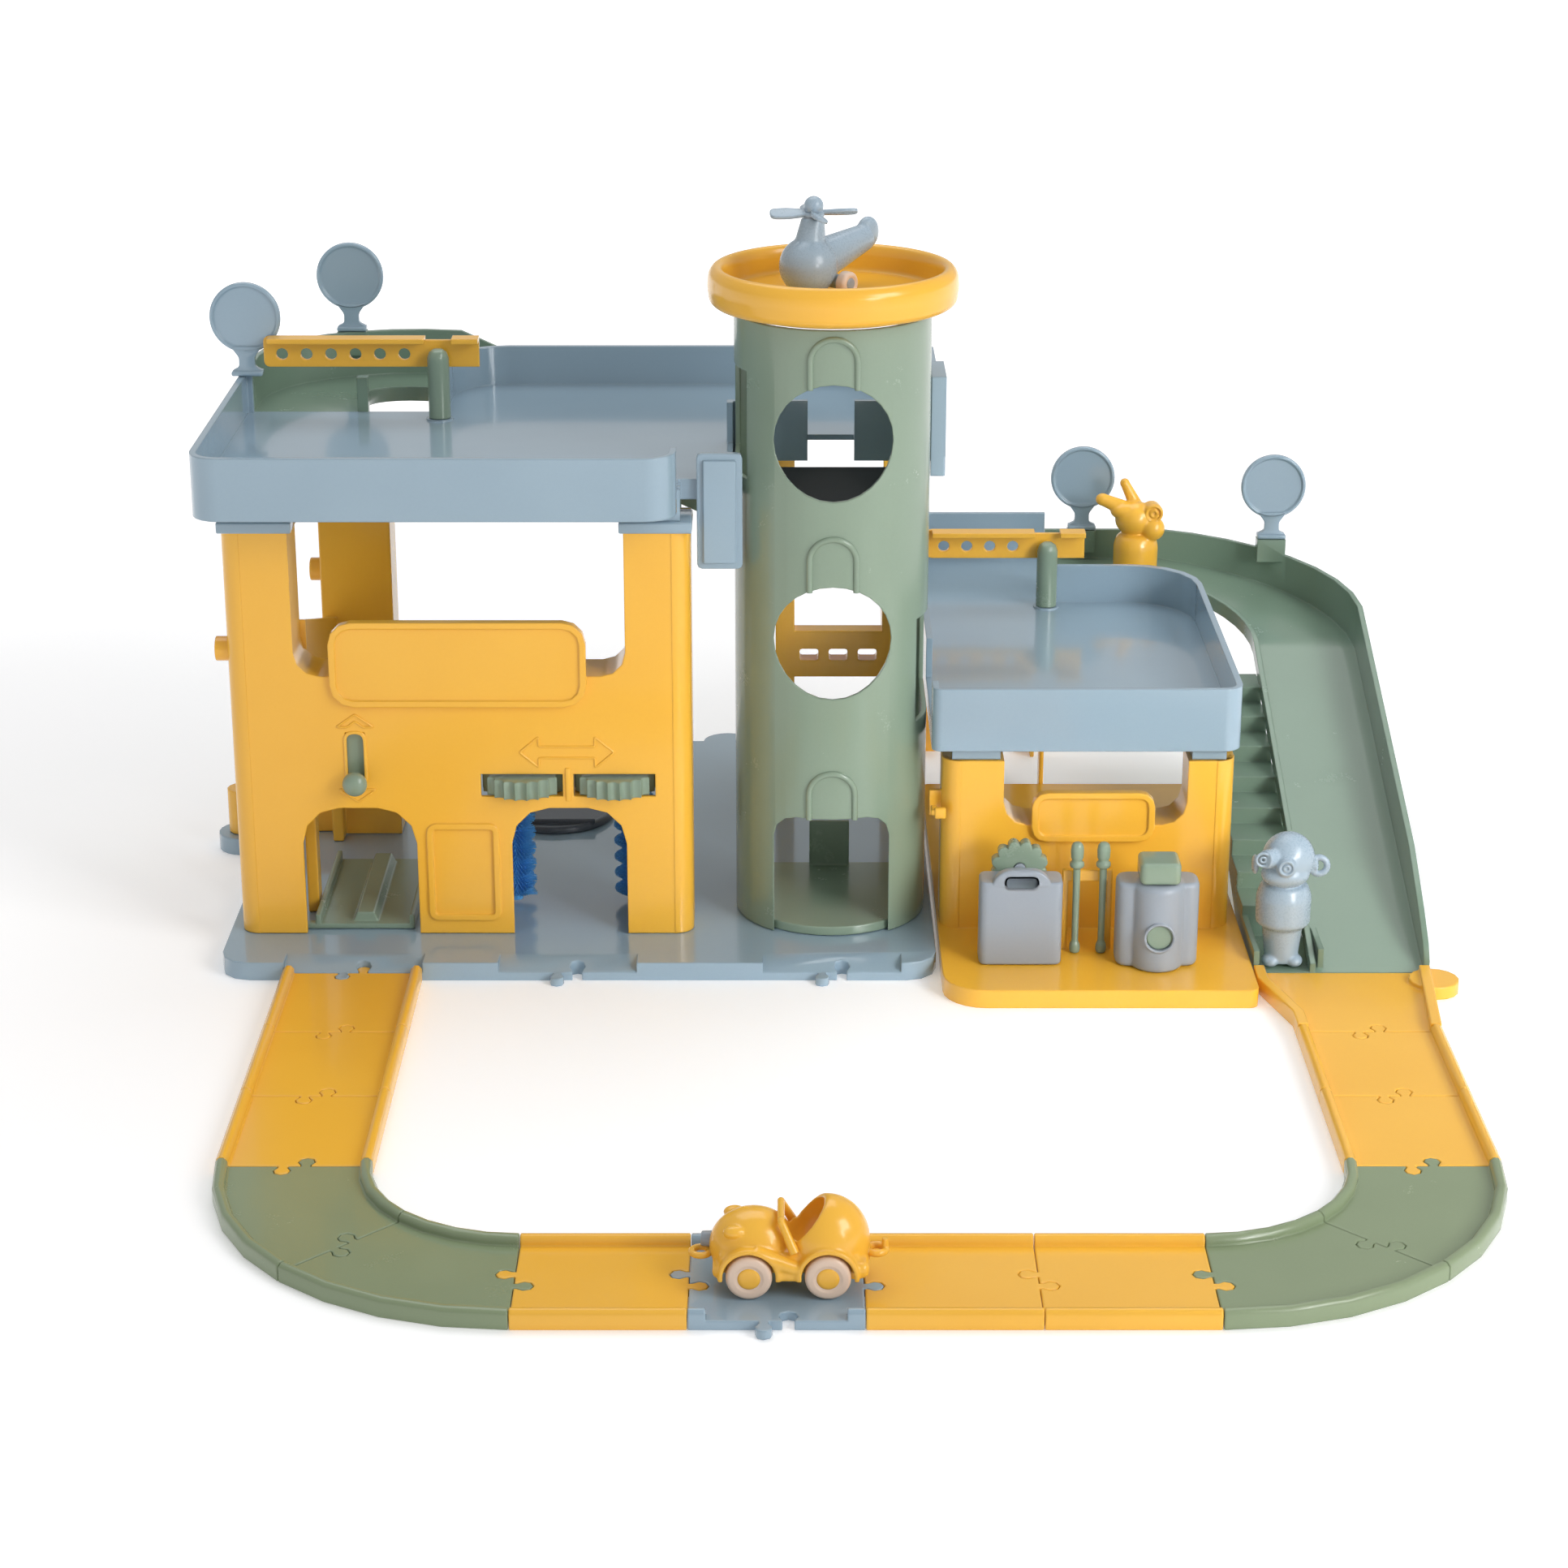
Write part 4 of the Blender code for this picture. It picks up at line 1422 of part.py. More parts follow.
def make_arm(name, length, holes, x, y, floor, parent):
    # The arm hangs on a pin behind its post. Along +X is its tail and along -X its blade.
    low = -ARM_PIN_RISE
    web = POST_RADIUS + GAP
    blade = rounded(rect(-length, ARM_TAIL, low, low + ARM_HEIGHT), [ARM_END_CORNER, 0, 0, ARM_END_CORNER],
                    3)
    arm = to_object(name, prism(blade, web, web + ARM_THICK, "XZ"))
    flange = low + ARM_HEIGHT - ARM_THICK
    clear = POST_RADIUS + 1.4 * MM
    fuse(arm, box(-length + ARM_END_CORNER, -clear, web - ARM_TOP_WIDTH, web + 1 * MM, flange,
                  flange + ARM_THICK),
         box(clear, ARM_TAIL, web - ARM_TOP_WIDTH, web + 1 * MM, flange, flange + ARM_THICK))
    for i in range(holes):
        at = (-length + ARM_FIRST_HOLE + i * ARM_HOLE_PITCH, low + (ARM_HEIGHT - ARM_THICK) / 2)
        cut(arm, disc(ARM_HOLE_RADIUS, web - REACH, web + REACH, 12, at, "XZ"))
    cut(arm, disc(ARM_PIN_RADIUS + GAP, web - REACH, web + REACH, 12, (0.0, 0.0), "XZ"),
        box(-clear, clear, web - REACH, web + REACH, ARM_PIN_RISE + ARM_THICK, ARM_HEIGHT))
    return finish(arm, YELLOW, parent, (x, y, floor + GAP + ARM_CLEAR_ABOVE_DECK + ARM_PIN_RISE))


# Car wash

def make_wash_wheel(name, x, y, parent):
    wheel = to_object(name, prism(scalloped(THUMB_RADIUS, THUMB_SCALLOP_DEPTH, THUMB_SCALLOPS), 0.0,
                                  THUMB_HEIGHT))
    cut(wheel, disc(PIN_RADIUS + GAP, -REACH, THUMB_HEIGHT + REACH, 12))
    return finish(wheel, GREEN, parent, (x, y, THUMB_SLOT_BOTTOM + GAP))


def bristles():
    # Rows of straight strands round the core. Each row is turned half a step from the one below.
    bm = bmesh.new()
    pitch = (BRUSH_TOP - BRUSH_BOTTOM) / BRUSH_ROWS
    half = BRUSH_STRAND_WIDTH / 2
    for row in range(BRUSH_ROWS):
        z = BRUSH_BOTTOM + (row + 0.5) * pitch
        for k in range(BRUSH_STRANDS_PER_ROW):
            a = math.tau * (k + 0.5 * (row % 2)) / BRUSH_STRANDS_PER_ROW
            out = Vector((math.cos(a), math.sin(a), 0.0))
            side = Vector((-math.sin(a), math.cos(a), 0.0))
            up = Vector((0.0, 0.0, 1.0))
            rings = []
            for reach, thick in ((BRUSH_CORE_RADIUS - 1 * MM, half), (BRUSH_TIP_RADIUS, 0.75 * half)):
                base = out * reach + up * z
                rings.append([bm.verts.new(base + side * thick - up * half), bm.verts.new(base + up * thick),
                              bm.verts.new(base - side * thick - up * half)])
            near, far = rings
            for i in range(3):
                j = (i + 1) % 3
                bm.faces.new((near[i], near[j], far[j], far[i]))
            bm.faces.new(near)
            bm.faces.new(far)
    bmesh.ops.recalc_face_normals(bm, faces=bm.faces)
    return bm


def make_wash_brush(name, x, y, parent):
    # The disc rests on the shelf and the core with its bristles hangs below it.
    top = THUMB_SLOT_BOTTOM + GAP
    drive = BRUSH_TIP_RADIUS
    core = BRUSH_CORE_RADIUS
    profile = [(0.0, BRUSH_BOTTOM - 2 * MM), (core, BRUSH_BOTTOM - 2 * MM), (core, BRUSH_TOP),
               (PIN_RADIUS, BRUSH_TOP),
               (PIN_RADIUS, top), (drive, top), (drive, top + THUMB_HEIGHT), (0.0, top + THUMB_HEIGHT)]
    brush = to_object(name, turned(profile, 10))
    fuse(brush, bristles())
    return finish(brush, BRISTLE, parent, (x, y, 0.0), roughness=0.5)


# Car hoist

def make_hoist(parent):
    low = BASE_THICK + GAP
    half = HOIST_WIDTH / 2
    back = HOIST_FRONT_Y + HOIST_LENGTH
    deck = to_object("hoist_platform", box(HOIST_ARCH_X - half, HOIST_ARCH_X + half, HOIST_FRONT_Y, back,
                                           low,
                                           low + HOIST_THICK))
    rib = HOIST_RIB_WIDTH / 2
    edge = HOIST_FRONT_Y + HOIST_RIB_MARGIN
    ridge = [(HOIST_ARCH_X - rib, low + 1 * MM), (HOIST_ARCH_X + rib, low + 1 * MM),
             (HOIST_ARCH_X + rib - HOIST_RIB_TAPER, low + HOIST_THICK + HOIST_RAIL),
             (HOIST_ARCH_X - rib + HOIST_RIB_TAPER, low + HOIST_THICK + HOIST_RAIL)]
    leg_left, leg_right = LEVER_LEG_LEFT, LEVER_LEG_RIGHT
    depth = LEVER_LEG_DEPTH
    fuse(deck, prism(ridge, edge, back - HOIST_RIB_MARGIN, "XZ"))
    for x in (HOIST_ARCH_X - half, HOIST_ARCH_X + half - RAIL_WIDTH / 2):
        fuse(deck,
             box(x, x + RAIL_WIDTH / 2, HOIST_FRONT_Y, back, low + 1 * MM, low + HOIST_THICK + HOIST_RAIL))
    fuse(deck, box(leg_left, HOIST_ARCH_X - half + 1 * MM, HOIST_FRONT_Y, HOIST_FRONT_Y + depth, low,
                   low + HOIST_THICK))
    finish(deck, GREEN, parent)
    front = WALL_FRONT + SKIN + GAP
    lever = to_object("hoist_lever", box(leg_left, LEVER_PLATE_RIGHT, front, front + SKIN,
                                         LEVER_PLATE_BOTTOM,
                                         LEVER_PLATE_TOP))
    knob_z = LEVER_SLOT_BOTTOM + KNOB_STEM + GAP
    fuse(lever, box(leg_left, leg_right, front + 1 * MM, HOIST_FRONT_Y + depth, low + HOIST_THICK + GAP,
                    LEVER_PLATE_TOP),
         rod((LEVER_SLOT_X, front + 1 * MM, knob_z), (LEVER_SLOT_X, WALL_FRONT - KNOB_REACH, knob_z),
             KNOB_STEM),
         ball(KNOB_RADIUS, (1.0, 0.8, 1.0), (LEVER_SLOT_X, WALL_FRONT - KNOB_REACH, knob_z)))
    return finish(lever, GREEN, parent)


def make_turntable(parent):
    edge = TURN_EDGE
    profile = [(0.0, -TURN_PIN_DEPTH), (TURN_PIN_RADIUS, -TURN_PIN_DEPTH), (TURN_PIN_RADIUS, 0.0),
               (TURN_RADIUS, 0.0),
               (TURN_RADIUS, TURN_HEIGHT - edge), (TURN_RADIUS - edge, TURN_HEIGHT), (0.0, TURN_HEIGHT)]
    table = to_object("turntable", turned(profile, 28))
    half = TILE_WIDTH / 3
    for y in (-half, half):
        fuse(table,
             box(-half, half, y - TURN_RIDGE_WIDTH / 2, y + TURN_RIDGE_WIDTH / 2, TURN_HEIGHT - 1 * MM,
                        TURN_HEIGHT + TURN_RIDGE_HEIGHT))
    return finish(table, DARK, parent, (TURN_X, TURN_Y, BASE_THICK + GAP))


# Helicopter

def make_helicopter(parent):
    floor = PAD_FLOOR + GAP
    body_z = HELI_RADIUS + HELI_LIFT
    body = to_object("helicopter_body", ball(HELI_RADIUS, (1.0, 0.96, 1.0), (0.0, 0.0, body_z), sides=18,
                                             rings=11))
    mast = MAST_TOP - floor
    tail_z = HELI_TAIL_RISE
    strut = HELI_TRACK / 2 - HELI_WHEEL_THICK - RUN_GAP
    fuse(body, rod((0.0, 0.0, body_z), (-MAST_LEAN, 0.0, mast), MAST_RADIUS + 2 * MM, MAST_RADIUS - 1 * MM,
                   14),
         rod((0.0, 0.0, body_z + 2 * MM), (-HELI_TAIL_REACH, 0.0, tail_z - TAIL_DROP), TAIL_ROOT_RADIUS,
             TAIL_TIP_RADIUS, 14),
         moved(prism(HELI_FIN, -FIN_THICK / 2, FIN_THICK / 2, "XZ"), (-HELI_TAIL_REACH, 0.0, tail_z)),
         rod((-HELI_AXLE_BACK, -strut, HELI_WHEEL_RADIUS), (-HELI_AXLE_BACK, strut, HELI_WHEEL_RADIUS),
             AXLE_TUBE_RADIUS),
         rod((-HELI_AXLE_BACK, 0.0, HELI_WHEEL_RADIUS), (0.0, 0.0, body_z), 2 * BELLY_RADIUS / 3,
             BELLY_RADIUS))
    axle = rod((-HELI_AXLE_BACK, -HELI_TRACK, HELI_WHEEL_RADIUS), (-HELI_AXLE_BACK, HELI_TRACK,
                                                                   HELI_WHEEL_RADIUS),
               CAR_AXLE_RADIUS + GAP)
    cut(body, axle, box(-HELI_RADIUS, HELI_RADIUS, -HELI_RADIUS, HELI_RADIUS, mast, mast + HELI_RADIUS))
    turn = math.radians(HELI_HEADING)
    finish(body, GREY, parent, (HELI_X, HELI_Y, floor), (0.0, 0.0, turn))
    wheels = wheel_pair("helicopter_wheels", HELI_WHEEL_RADIUS, HELI_WHEEL_THICK, HELI_TRACK)
    c, s = math.cos(turn), math.sin(turn)
    at = (HELI_X - HELI_AXLE_BACK * c, HELI_Y - HELI_AXLE_BACK * s, floor + HELI_WHEEL_RADIUS)
    finish(wheels, CREAM, parent, at, (0.0, 0.0, turn))
    blade = [(2 * MM, -BLADE_WIDTH / 4), (ROTOR_RADIUS * 0.6, -BLADE_WIDTH / 2),
             (ROTOR_RADIUS, -BLADE_WIDTH / 4),
             (ROTOR_RADIUS, BLADE_WIDTH / 4), (ROTOR_RADIUS * 0.6, BLADE_WIDTH / 2),
             (2 * MM, BLADE_WIDTH / 4)]
    rotor = to_object("helicopter_rotor", disc(MAST_RADIUS - 1 * MM, 0.0, BLADE_THICK + 0.6 * MM, 16))
    for i in range(ROTOR_BLADES):
        quarter = Matrix.Rotation(math.tau * (i + 0.25) / ROTOR_BLADES, 3, "Z")
        fuse(rotor, moved(prism(rounded(blade, BLADE_THICK / 1.6, 2), GAP, GAP + BLADE_THICK), turn=quarter))
    fuse(rotor, ball(ROTOR_KNOB_RADIUS, at=(0.0, 0.0, ROTOR_KNOB_RADIUS + 0.8 * MM)))
    cut(rotor, box(-ROTOR_RADIUS, ROTOR_RADIUS, -ROTOR_RADIUS, ROTOR_RADIUS, -REACH, 0.0))
    hub = (HELI_X - MAST_LEAN * c, HELI_Y - MAST_LEAN * s, MAST_TOP + GAP)
    return finish(rotor, GREY, parent, hub)


def wheel_pair(name, radius, thick, track, axle=CAR_AXLE_RADIUS):
    # Two rounded wheels on one axle along Y.
    edge = 1.4 * MM
    outer, inner = track / 2, track / 2 - thick
    profile = [(0.0, -outer), (radius - edge, -outer), (radius, -outer + edge), (radius, -inner),
               (axle, -inner),
               (axle, inner), (radius, inner), (radius, outer - edge), (radius - edge, outer), (0.0, outer)]
    bm = turned(profile, 14)
    bmesh.ops.rotate(bm, cent=(0, 0, 0), matrix=Matrix.Rotation(math.pi / 2, 3, "X"), verts=bm.verts)
    return to_object(name, bm)


# Car

def make_car(parent):
    half = CAR_WIDTH / 2
    shell = prism(CAR_SIDE, -half, half, "XZ")
    rim = [e for e in shell.edges if abs(abs(e.verts[0].co.y) - half) < MM / 10
           and abs(e.verts[0].co.y - e.verts[1].co.y) < MM / 10]
    bmesh.ops.bevel(shell, geom=rim, offset=CAR_EDGE, segments=2, profile=0.5, affect="EDGES", material=-1)
    car = to_object("car_body", shell)
    for x in (-CAR_HALF_BASE, CAR_HALF_BASE):
        for side in (-1, 1):
            y0, y1 = sorted((side * CAR_SPINE / 2, side * (half + REACH)))
            cut(car, disc(CAR_ARCH_RADIUS, y0, y1, 16, (x, CAR_WHEEL_RADIUS), "XZ"))
        cut(car, disc(CAR_AXLE_RADIUS + GAP, -half, half, 14, (x, CAR_WHEEL_RADIUS), "XZ"))
    seat = rounded(rect(SEAT_FRONT, SEAT_BACK, -half + CAR_EDGE, half - CAR_EDGE), CAR_EDGE, 3)
    cut(car, prism(seat, SEAT_FLOOR, SEAT_FLOOR + CAR_WIDTH))
    frame = SCREEN_FRAME
    edge = half - SCREEN_INSET
    fuse(car, box(SCREEN_X, SCREEN_X + frame, -edge, edge, SEAT_FLOOR, SCREEN_TOP))
    cut(car, box(SCREEN_X - REACH, SCREEN_X + REACH, -edge + frame, edge - frame, SCREEN_TOP - 2.3 * frame,
                 SCREEN_TOP - frame))
    for x, z in ((CAR_SIDE[0][0] - CAR_HOOK_RADIUS, CAR_FRONT_HOOK_Z),
                 (CAR_SIDE[1][0] + CAR_HOOK_RADIUS, CAR_REAR_HOOK_Z)):
        ring = disc(CAR_HOOK_RADIUS + 1.6 * MM, z - CAR_HOOK_THICK / 2, z + CAR_HOOK_THICK / 2, 16, (x, 0.0))
        fuse(car, ring)
        cut(car, disc(CAR_HOOK_RADIUS - 0.8 * MM, z - REACH, z + REACH, 12, (x, 0.0)))
    at = (CAR_X, FRONT_TRACK_Y, TILE_FLOOR + GAP)
    finish(car, YELLOW, parent, at)
    for name, x in (("car_wheels_front", -CAR_HALF_BASE), ("car_wheels_rear", CAR_HALF_BASE)):
        wheels = wheel_pair(name, CAR_WHEEL_RADIUS, CAR_WHEEL_THICK, CAR_WIDTH)
        finish(wheels, CREAM, parent, (CAR_X + x, FRONT_TRACK_Y, TILE_FLOOR + GAP + CAR_WHEEL_RADIUS))


# Figures

def make_monkey(parent):
    x, y, z = MONKEY_FOOT
    feet = [ball(MONKEY_FOOT_RADIUS, (0.9, 1.2, 0.7), (side * x, y, z)) for side in (-1, 1)]
    figure = to_object("monkey_figure", turned(MONKEY_BODY, 14))
    fuse(figure, *feet, ball(MONKEY_HEAD_RADIUS, (1.0, 0.9, 1.0), MONKEY_HEAD, sides=12, rings=8),
         ball(MONKEY_MUZZLE_RADIUS, (1.0, 0.8, 0.72), MONKEY_MUZZLE, sides=12, rings=8))
    for x, z in MONKEY_EYES:
        fuse(figure, rod((x, MONKEY_EYE_ROOT, z), (x, MONKEY_EYE_FRONT, z), MONKEY_EYE_RADIUS,
                         0.92 * MONKEY_EYE_RADIUS))
    x, y, z = MONKEY_EAR
    for side in (-1, 1):
        fuse(figure, ball(MONKEY_EAR_RADIUS, (0.9, 0.5, 1.1), (side * x, y, z)))
    reach = 2 * MONKEY_HEAD_RADIUS
    cut(figure, box(-reach, reach, -reach, reach, -reach, 0.0))
    return finish(figure, GREY, parent, (MONKEY_X, MONKEY_Y, TILE_FLOOR + GAP))


def make_rabbit(parent):
    figure = to_object("rabbit_figure", turned(RABBIT_BODY, 16))
    fuse(figure, ball(RABBIT_HEAD_RADIUS, (1.0, 0.95, 0.9), RABBIT_HEAD, sides=12, rings=8),
         ball(RABBIT_CHEEK_RADIUS, (1.0, 1.0, 0.8), RABBIT_CHEEK),
         ball(RABBIT_EYE_RADIUS, (1.0, 0.8, 1.0), RABBIT_EYE))
    for root, tip in RABBIT_EARS:
        fuse(figure, rod(root, tip, RABBIT_EAR_RADIUS, 0.75 * RABBIT_EAR_RADIUS),
             ball(RABBIT_EAR_TIP, at=tip, sides=12, rings=6))
    return finish(figure, YELLOW, parent, (RABBIT_X, RABBIT_Y, LOW_FLOOR + GAP))


def main():
    for obj in list(bpy.data.objects):
        bpy.data.objects.remove(obj)
    for mesh in list(bpy.data.meshes):
        bpy.data.meshes.remove(mesh)
    root = group("toy_garage")
    make_track(group("track", parent=root))
    left = group("left_building", parent=root)
    for make in (make_base, make_left_wall, make_side_frame, make_rear_frame, make_upper_deck,
                 make_deck_guard,
                 make_upper_ramp):
        make(left)
    tower = group("tower", parent=root)
    for make in (make_tower, make_lift, make_helipad, make_helicopter):
        make(tower)
    right = group("right_building", parent=root)
    for make in (make_shop_wall, make_lower_deck, make_landing_frame, make_slide_ramp, make_fuel_can,
                 make_can_wheel,
                 make_flask, make_tools):
        make(right)
    signs = group("signs", parent=root)
    make_sign("sign_1", *SIGN_ONE, DECK_TOP, signs)
    make_sign("sign_2", *sign_two_spot(), SIGN_TWO_SEAT, signs)
    make_sign("sign_3", *SIGN_THREE, SIGN_THREE_SEAT, signs)
    make_sign("sign_4", *SIGN_FOUR, SIGN_FOUR_SEAT, signs)
    barriers = group("barriers", parent=root)
    make_post("upper_post", POST_X, POST_Y, DECK_FLOOR, barriers)
    make_arm("upper_arm", ARM_LENGTH, ARM_HOLES, POST_X, POST_Y, DECK_FLOOR, barriers)
    make_post("lower_post", LOW_POST_X, LOW_POST_Y, LOW_FLOOR, barriers)
    make_arm("lower_arm", LOW_ARM_LENGTH, LOW_ARM_HOLES, LOW_POST_X, LOW_POST_Y, LOW_FLOOR, barriers)
    wash = group("car_wash", parent=root)
    thumbs, brushes = wash_axes()
    for side, thumb, brush in zip(("left", "right"), thumbs, brushes):
        make_wash_wheel("wash_wheel_" + side, *thumb, wash)
        make_wash_brush("wash_brush_" + side, *brush, wash)
    make_hoist(root)
    make_turntable(root)
    make_car(root)
    make_monkey(root)
    make_rabbit(root)


main()
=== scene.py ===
# %% [markdown]
# # Dressing a toy garage
# The real object is a large children's play set: two parking decks on walls, a lift tower with a helipad,
# two ramps and a loop of road that clips to the base. Every part of it is injection-moulded plastic. The
# solid model already gives each part its place and its size. This lesson turns those plain solids into
# something that looks as if it came out of a steel mould: rounded corners, a slightly wavy gloss, and small
# details on each piece.

# %% Load the solid model
import json
import math
import bpy
import bmesh
from mathutils import Matrix, Vector


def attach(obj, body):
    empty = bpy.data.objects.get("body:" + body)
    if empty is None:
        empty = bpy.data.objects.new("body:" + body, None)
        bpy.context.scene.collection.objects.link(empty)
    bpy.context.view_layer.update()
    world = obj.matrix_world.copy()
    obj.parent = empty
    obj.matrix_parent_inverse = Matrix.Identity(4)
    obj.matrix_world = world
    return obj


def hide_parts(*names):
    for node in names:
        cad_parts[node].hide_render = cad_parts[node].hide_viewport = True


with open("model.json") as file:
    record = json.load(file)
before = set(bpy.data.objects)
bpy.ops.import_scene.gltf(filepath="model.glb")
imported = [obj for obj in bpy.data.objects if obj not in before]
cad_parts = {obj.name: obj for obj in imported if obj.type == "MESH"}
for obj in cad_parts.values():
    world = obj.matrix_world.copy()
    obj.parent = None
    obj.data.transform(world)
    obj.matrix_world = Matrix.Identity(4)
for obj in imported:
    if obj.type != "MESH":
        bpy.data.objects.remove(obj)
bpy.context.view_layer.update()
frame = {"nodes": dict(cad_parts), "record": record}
MM = 0.001

# %% [markdown]
# ## The camera
# A photograph taken from far away with a long lens keeps the decks nearly parallel. The camera therefore
# stands 1.7 m in front of the tower, 0.7 m up, and looks down by 20 degrees. The horizon is well above the
# picture, so the floor has to reach far behind the garage.

# %% Camera
CAMERA_PLACE = (-0.0251, -1.7123, 0.7022)
CAMERA_DIP = math.radians(20)
lens = bpy.data.cameras.new("photo_camera")
lens.lens = 77.6
lens.sensor_width = 36
lens.clip_end = 50
camera = bpy.data.objects.new("photo_camera", lens)
camera.location = CAMERA_PLACE
camera.rotation_euler = (math.pi / 2 - CAMERA_DIP, 0, 0)
bpy.context.scene.collection.objects.link(camera)
bpy.context.scene.camera = camera
bpy.context.scene.view_settings.view_transform = "Standard"
print("camera stands", CAMERA_PLACE, "and dips", round(math.degrees(CAMERA_DIP)), "degrees")

# %% [markdown]
# ## Writing shader maths as plain expressions
# A plastic needs a dozen small noise patterns mixed together. Linking Math nodes one at a time hides the
# idea, so a socket is wrapped in a small class and ordinary operators add the nodes. Everything that isn't
# a Math node comes from one method, which takes the node's type, its settings and the values of its
# sockets.


# %% A socket that does sums
class Wire:
    def __init__(self, finish, socket):
        self.finish = finish
        self.socket = socket

    def sum(self, operation, first, second):
        return self.finish.add("ShaderNodeMath", {"operation": operation}, {0: first, 1: second})

    def __add__(self, other):
        return self.sum("ADD", self, other)

    def __radd__(self, other):
        return self.sum("ADD", other, self)

    def __sub__(self, other):
        return self.sum("SUBTRACT", self, other)

    def __mul__(self, other):
        return self.sum("MULTIPLY", self, other)


class Finish:
    def __init__(self, name):
        self.material = bpy.data.materials.new(name)
        self.material.use_nodes = True
        self.tree = self.material.node_tree
        self.tree.nodes.clear()

    def add(self, kind, settings=None, values=None, out=0):
        node = self.tree.nodes.new(kind)
        for key, value in (settings or {}).items():
            setattr(node, key, value)
        for key, value in (values or {}).items():
            target = node.inputs[key]
            if isinstance(value, Wire):
                self.tree.links.new(value.socket, target)
            else:
                target.default_value = value
        return Wire(self, node.outputs[out]) if node.outputs else node


print("sockets can now be added, subtracted and multiplied")

# %% [markdown]
# ## Moulded plastic
# Looked at closely, a glossy moulded toy is never one flat colour. The pigment is a little uneven where the
# melt flowed, thick places sink by a hair and bend the reflections, the steel leaves a very fine orange
# peel, and play leaves hair-thin scratches and a few dull rubbed patches. One recipe makes all of that from
# noise textures, and each colour of plastic calls it with its own numbers. A Bevel node starts the chain of
# normals, so that light rolls over every corner and over the lines where two mouldings meet, even where the
# mesh has no room for a wide round.


# %% The recipe for one plastic
def linear(code):
    parts = [int(code[i:i + 2], 16) / 255 for i in (0, 2, 4)]
    return tuple(p / 12.92 if p <= 0.04045 else ((p + 0.055) / 1.055) ** 2.4 for p in parts) + (1.0,)


def noise(finish, where, scale, detail=3.0, rough=0.5):
    return finish.add("ShaderNodeTexNoise", {"noise_dimensions": "3D"},
                      {"Vector": where, "Scale": scale, "Detail": detail, "Roughness": rough})


HAIR_SCRATCHES = 0.2


def moulded_plastic(name, light, dark, gloss=0.22, peel=0.06, sink=0.2, coat=0.25):
    finish = Finish(name)
    where = finish.add("ShaderNodeTexCoord", out=3)
    stretched = finish.add("ShaderNodeMapping", None,
                           {"Vector": where, "Rotation": (0.3, 0.2, 0.6), "Scale": (1.0, 26.0, 5.0)})
    flow = noise(finish, where, 16.0, 2.0)
    speckle = noise(finish, where, 900.0, 2.0)
    rubbed = noise(finish, where, 38.0, 5.0, 0.62)
    hairs = noise(finish, stretched, 120.0, 4.0, 0.7)
    scratch = finish.add("ShaderNodeMapRange", {"interpolation_type": "SMOOTHSTEP"},
                         {"Value": hairs, "From Min": 0.66, "From Max": 0.74})
    patch = finish.add("ShaderNodeMapRange", {"interpolation_type": "SMOOTHSTEP"},
                       {"Value": rubbed, "From Min": 0.52, "From Max": 0.72})
    blend = flow * 0.8 + speckle * 0.25 - 0.1
    shade = finish.add("ShaderNodeMix", {"data_type": "RGBA"},
                       {"Factor": blend, 6: linear(light), 7: linear(dark)}, out=2)
    worn = finish.add("ShaderNodeMix", {"data_type": "RGBA", "blend_type": "SCREEN"},
                      {"Factor": scratch * (0.02 * HAIR_SCRATCHES), 6: shade, 7: (1.0, 1.0, 1.0, 1.0)}, out=2)
    roughness = gloss + patch * 0.02 + scratch * (0.06 * HAIR_SCRATCHES) + speckle * 0.03
    rounded = finish.add("ShaderNodeBevel", {"samples": 6}, {"Radius": 0.0012})
    sunk = noise(finish, where, 22.0, 1.0)
    grain = noise(finish, where, 650.0, 2.0)
    waves = finish.add("ShaderNodeBump", None,
                       {"Strength": sink, "Distance": 0.0008, "Height": sunk, "Normal": rounded})
    skin = finish.add("ShaderNodeBump", None,
                      {"Strength": peel, "Distance": 0.0002, "Height": grain - scratch * 0.1,
                       "Normal": waves})
    shader = finish.add("ShaderNodeBsdfPrincipled", None,
                        {"Base Color": worn, "Roughness": roughness, "Normal": skin, "IOR": 1.5,
                         "Coat Weight": coat, "Coat Roughness": 0.08})
    finish.add("ShaderNodeOutputMaterial", None, {"Surface": shader})
    print("mixed", name)
    return finish.material


# %% [markdown]
# Each colour of the set has a light and a dark shade, which the flow of the melt mixes. The decks are
# glossier than the walls, the bends of the road have their own green, and the brushes are nearly matt,
# because fibre scatters light. The two ramps are the sage green plastic of the tower, in a darker copy that
# is painted shade.

# %% The colours of the set
YELLOW = moulded_plastic("yellow_plastic", "F5BC42", "EDB034")
BLUE = moulded_plastic("blue_grey_plastic", "96ADBC", "8BA2B2", gloss=0.14, coat=0.6)
GREEN = moulded_plastic("sage_green_plastic", "889B88", "7D907D", gloss=0.24)
MOSS = moulded_plastic("moss_green_plastic", "889776", "7C8B6A", gloss=0.24)
# painted shade: the ramps are the same sage green plastic as the tower; this darker copy stands in for the
# shade they sit in
SHADED_RAMP_GREEN = moulded_plastic("shaded_ramp_green_plastic", "79917F", "6F8675", gloss=0.24)
GREY = moulded_plastic("cool_grey_plastic", "98A1AB", "8D96A0", gloss=0.32, coat=0.1)
PALE_BLUE = moulded_plastic("pale_blue_plastic", "A0B2C0", "95A8B6", gloss=0.26, coat=0.2)
CREAM = moulded_plastic("cream_plastic", "E6CDB8", "D8BDA8", gloss=0.3, coat=0.1)
DARK = moulded_plastic("charcoal_plastic", "4C535C", "3E454D", gloss=0.38, coat=0.1)
BRISTLE = moulded_plastic("bristle_fibre", "74C4FF", "4CB0FF", gloss=0.45, peel=0.02, sink=0.05, coat=0.0)
print("materials:", len(bpy.data.materials))

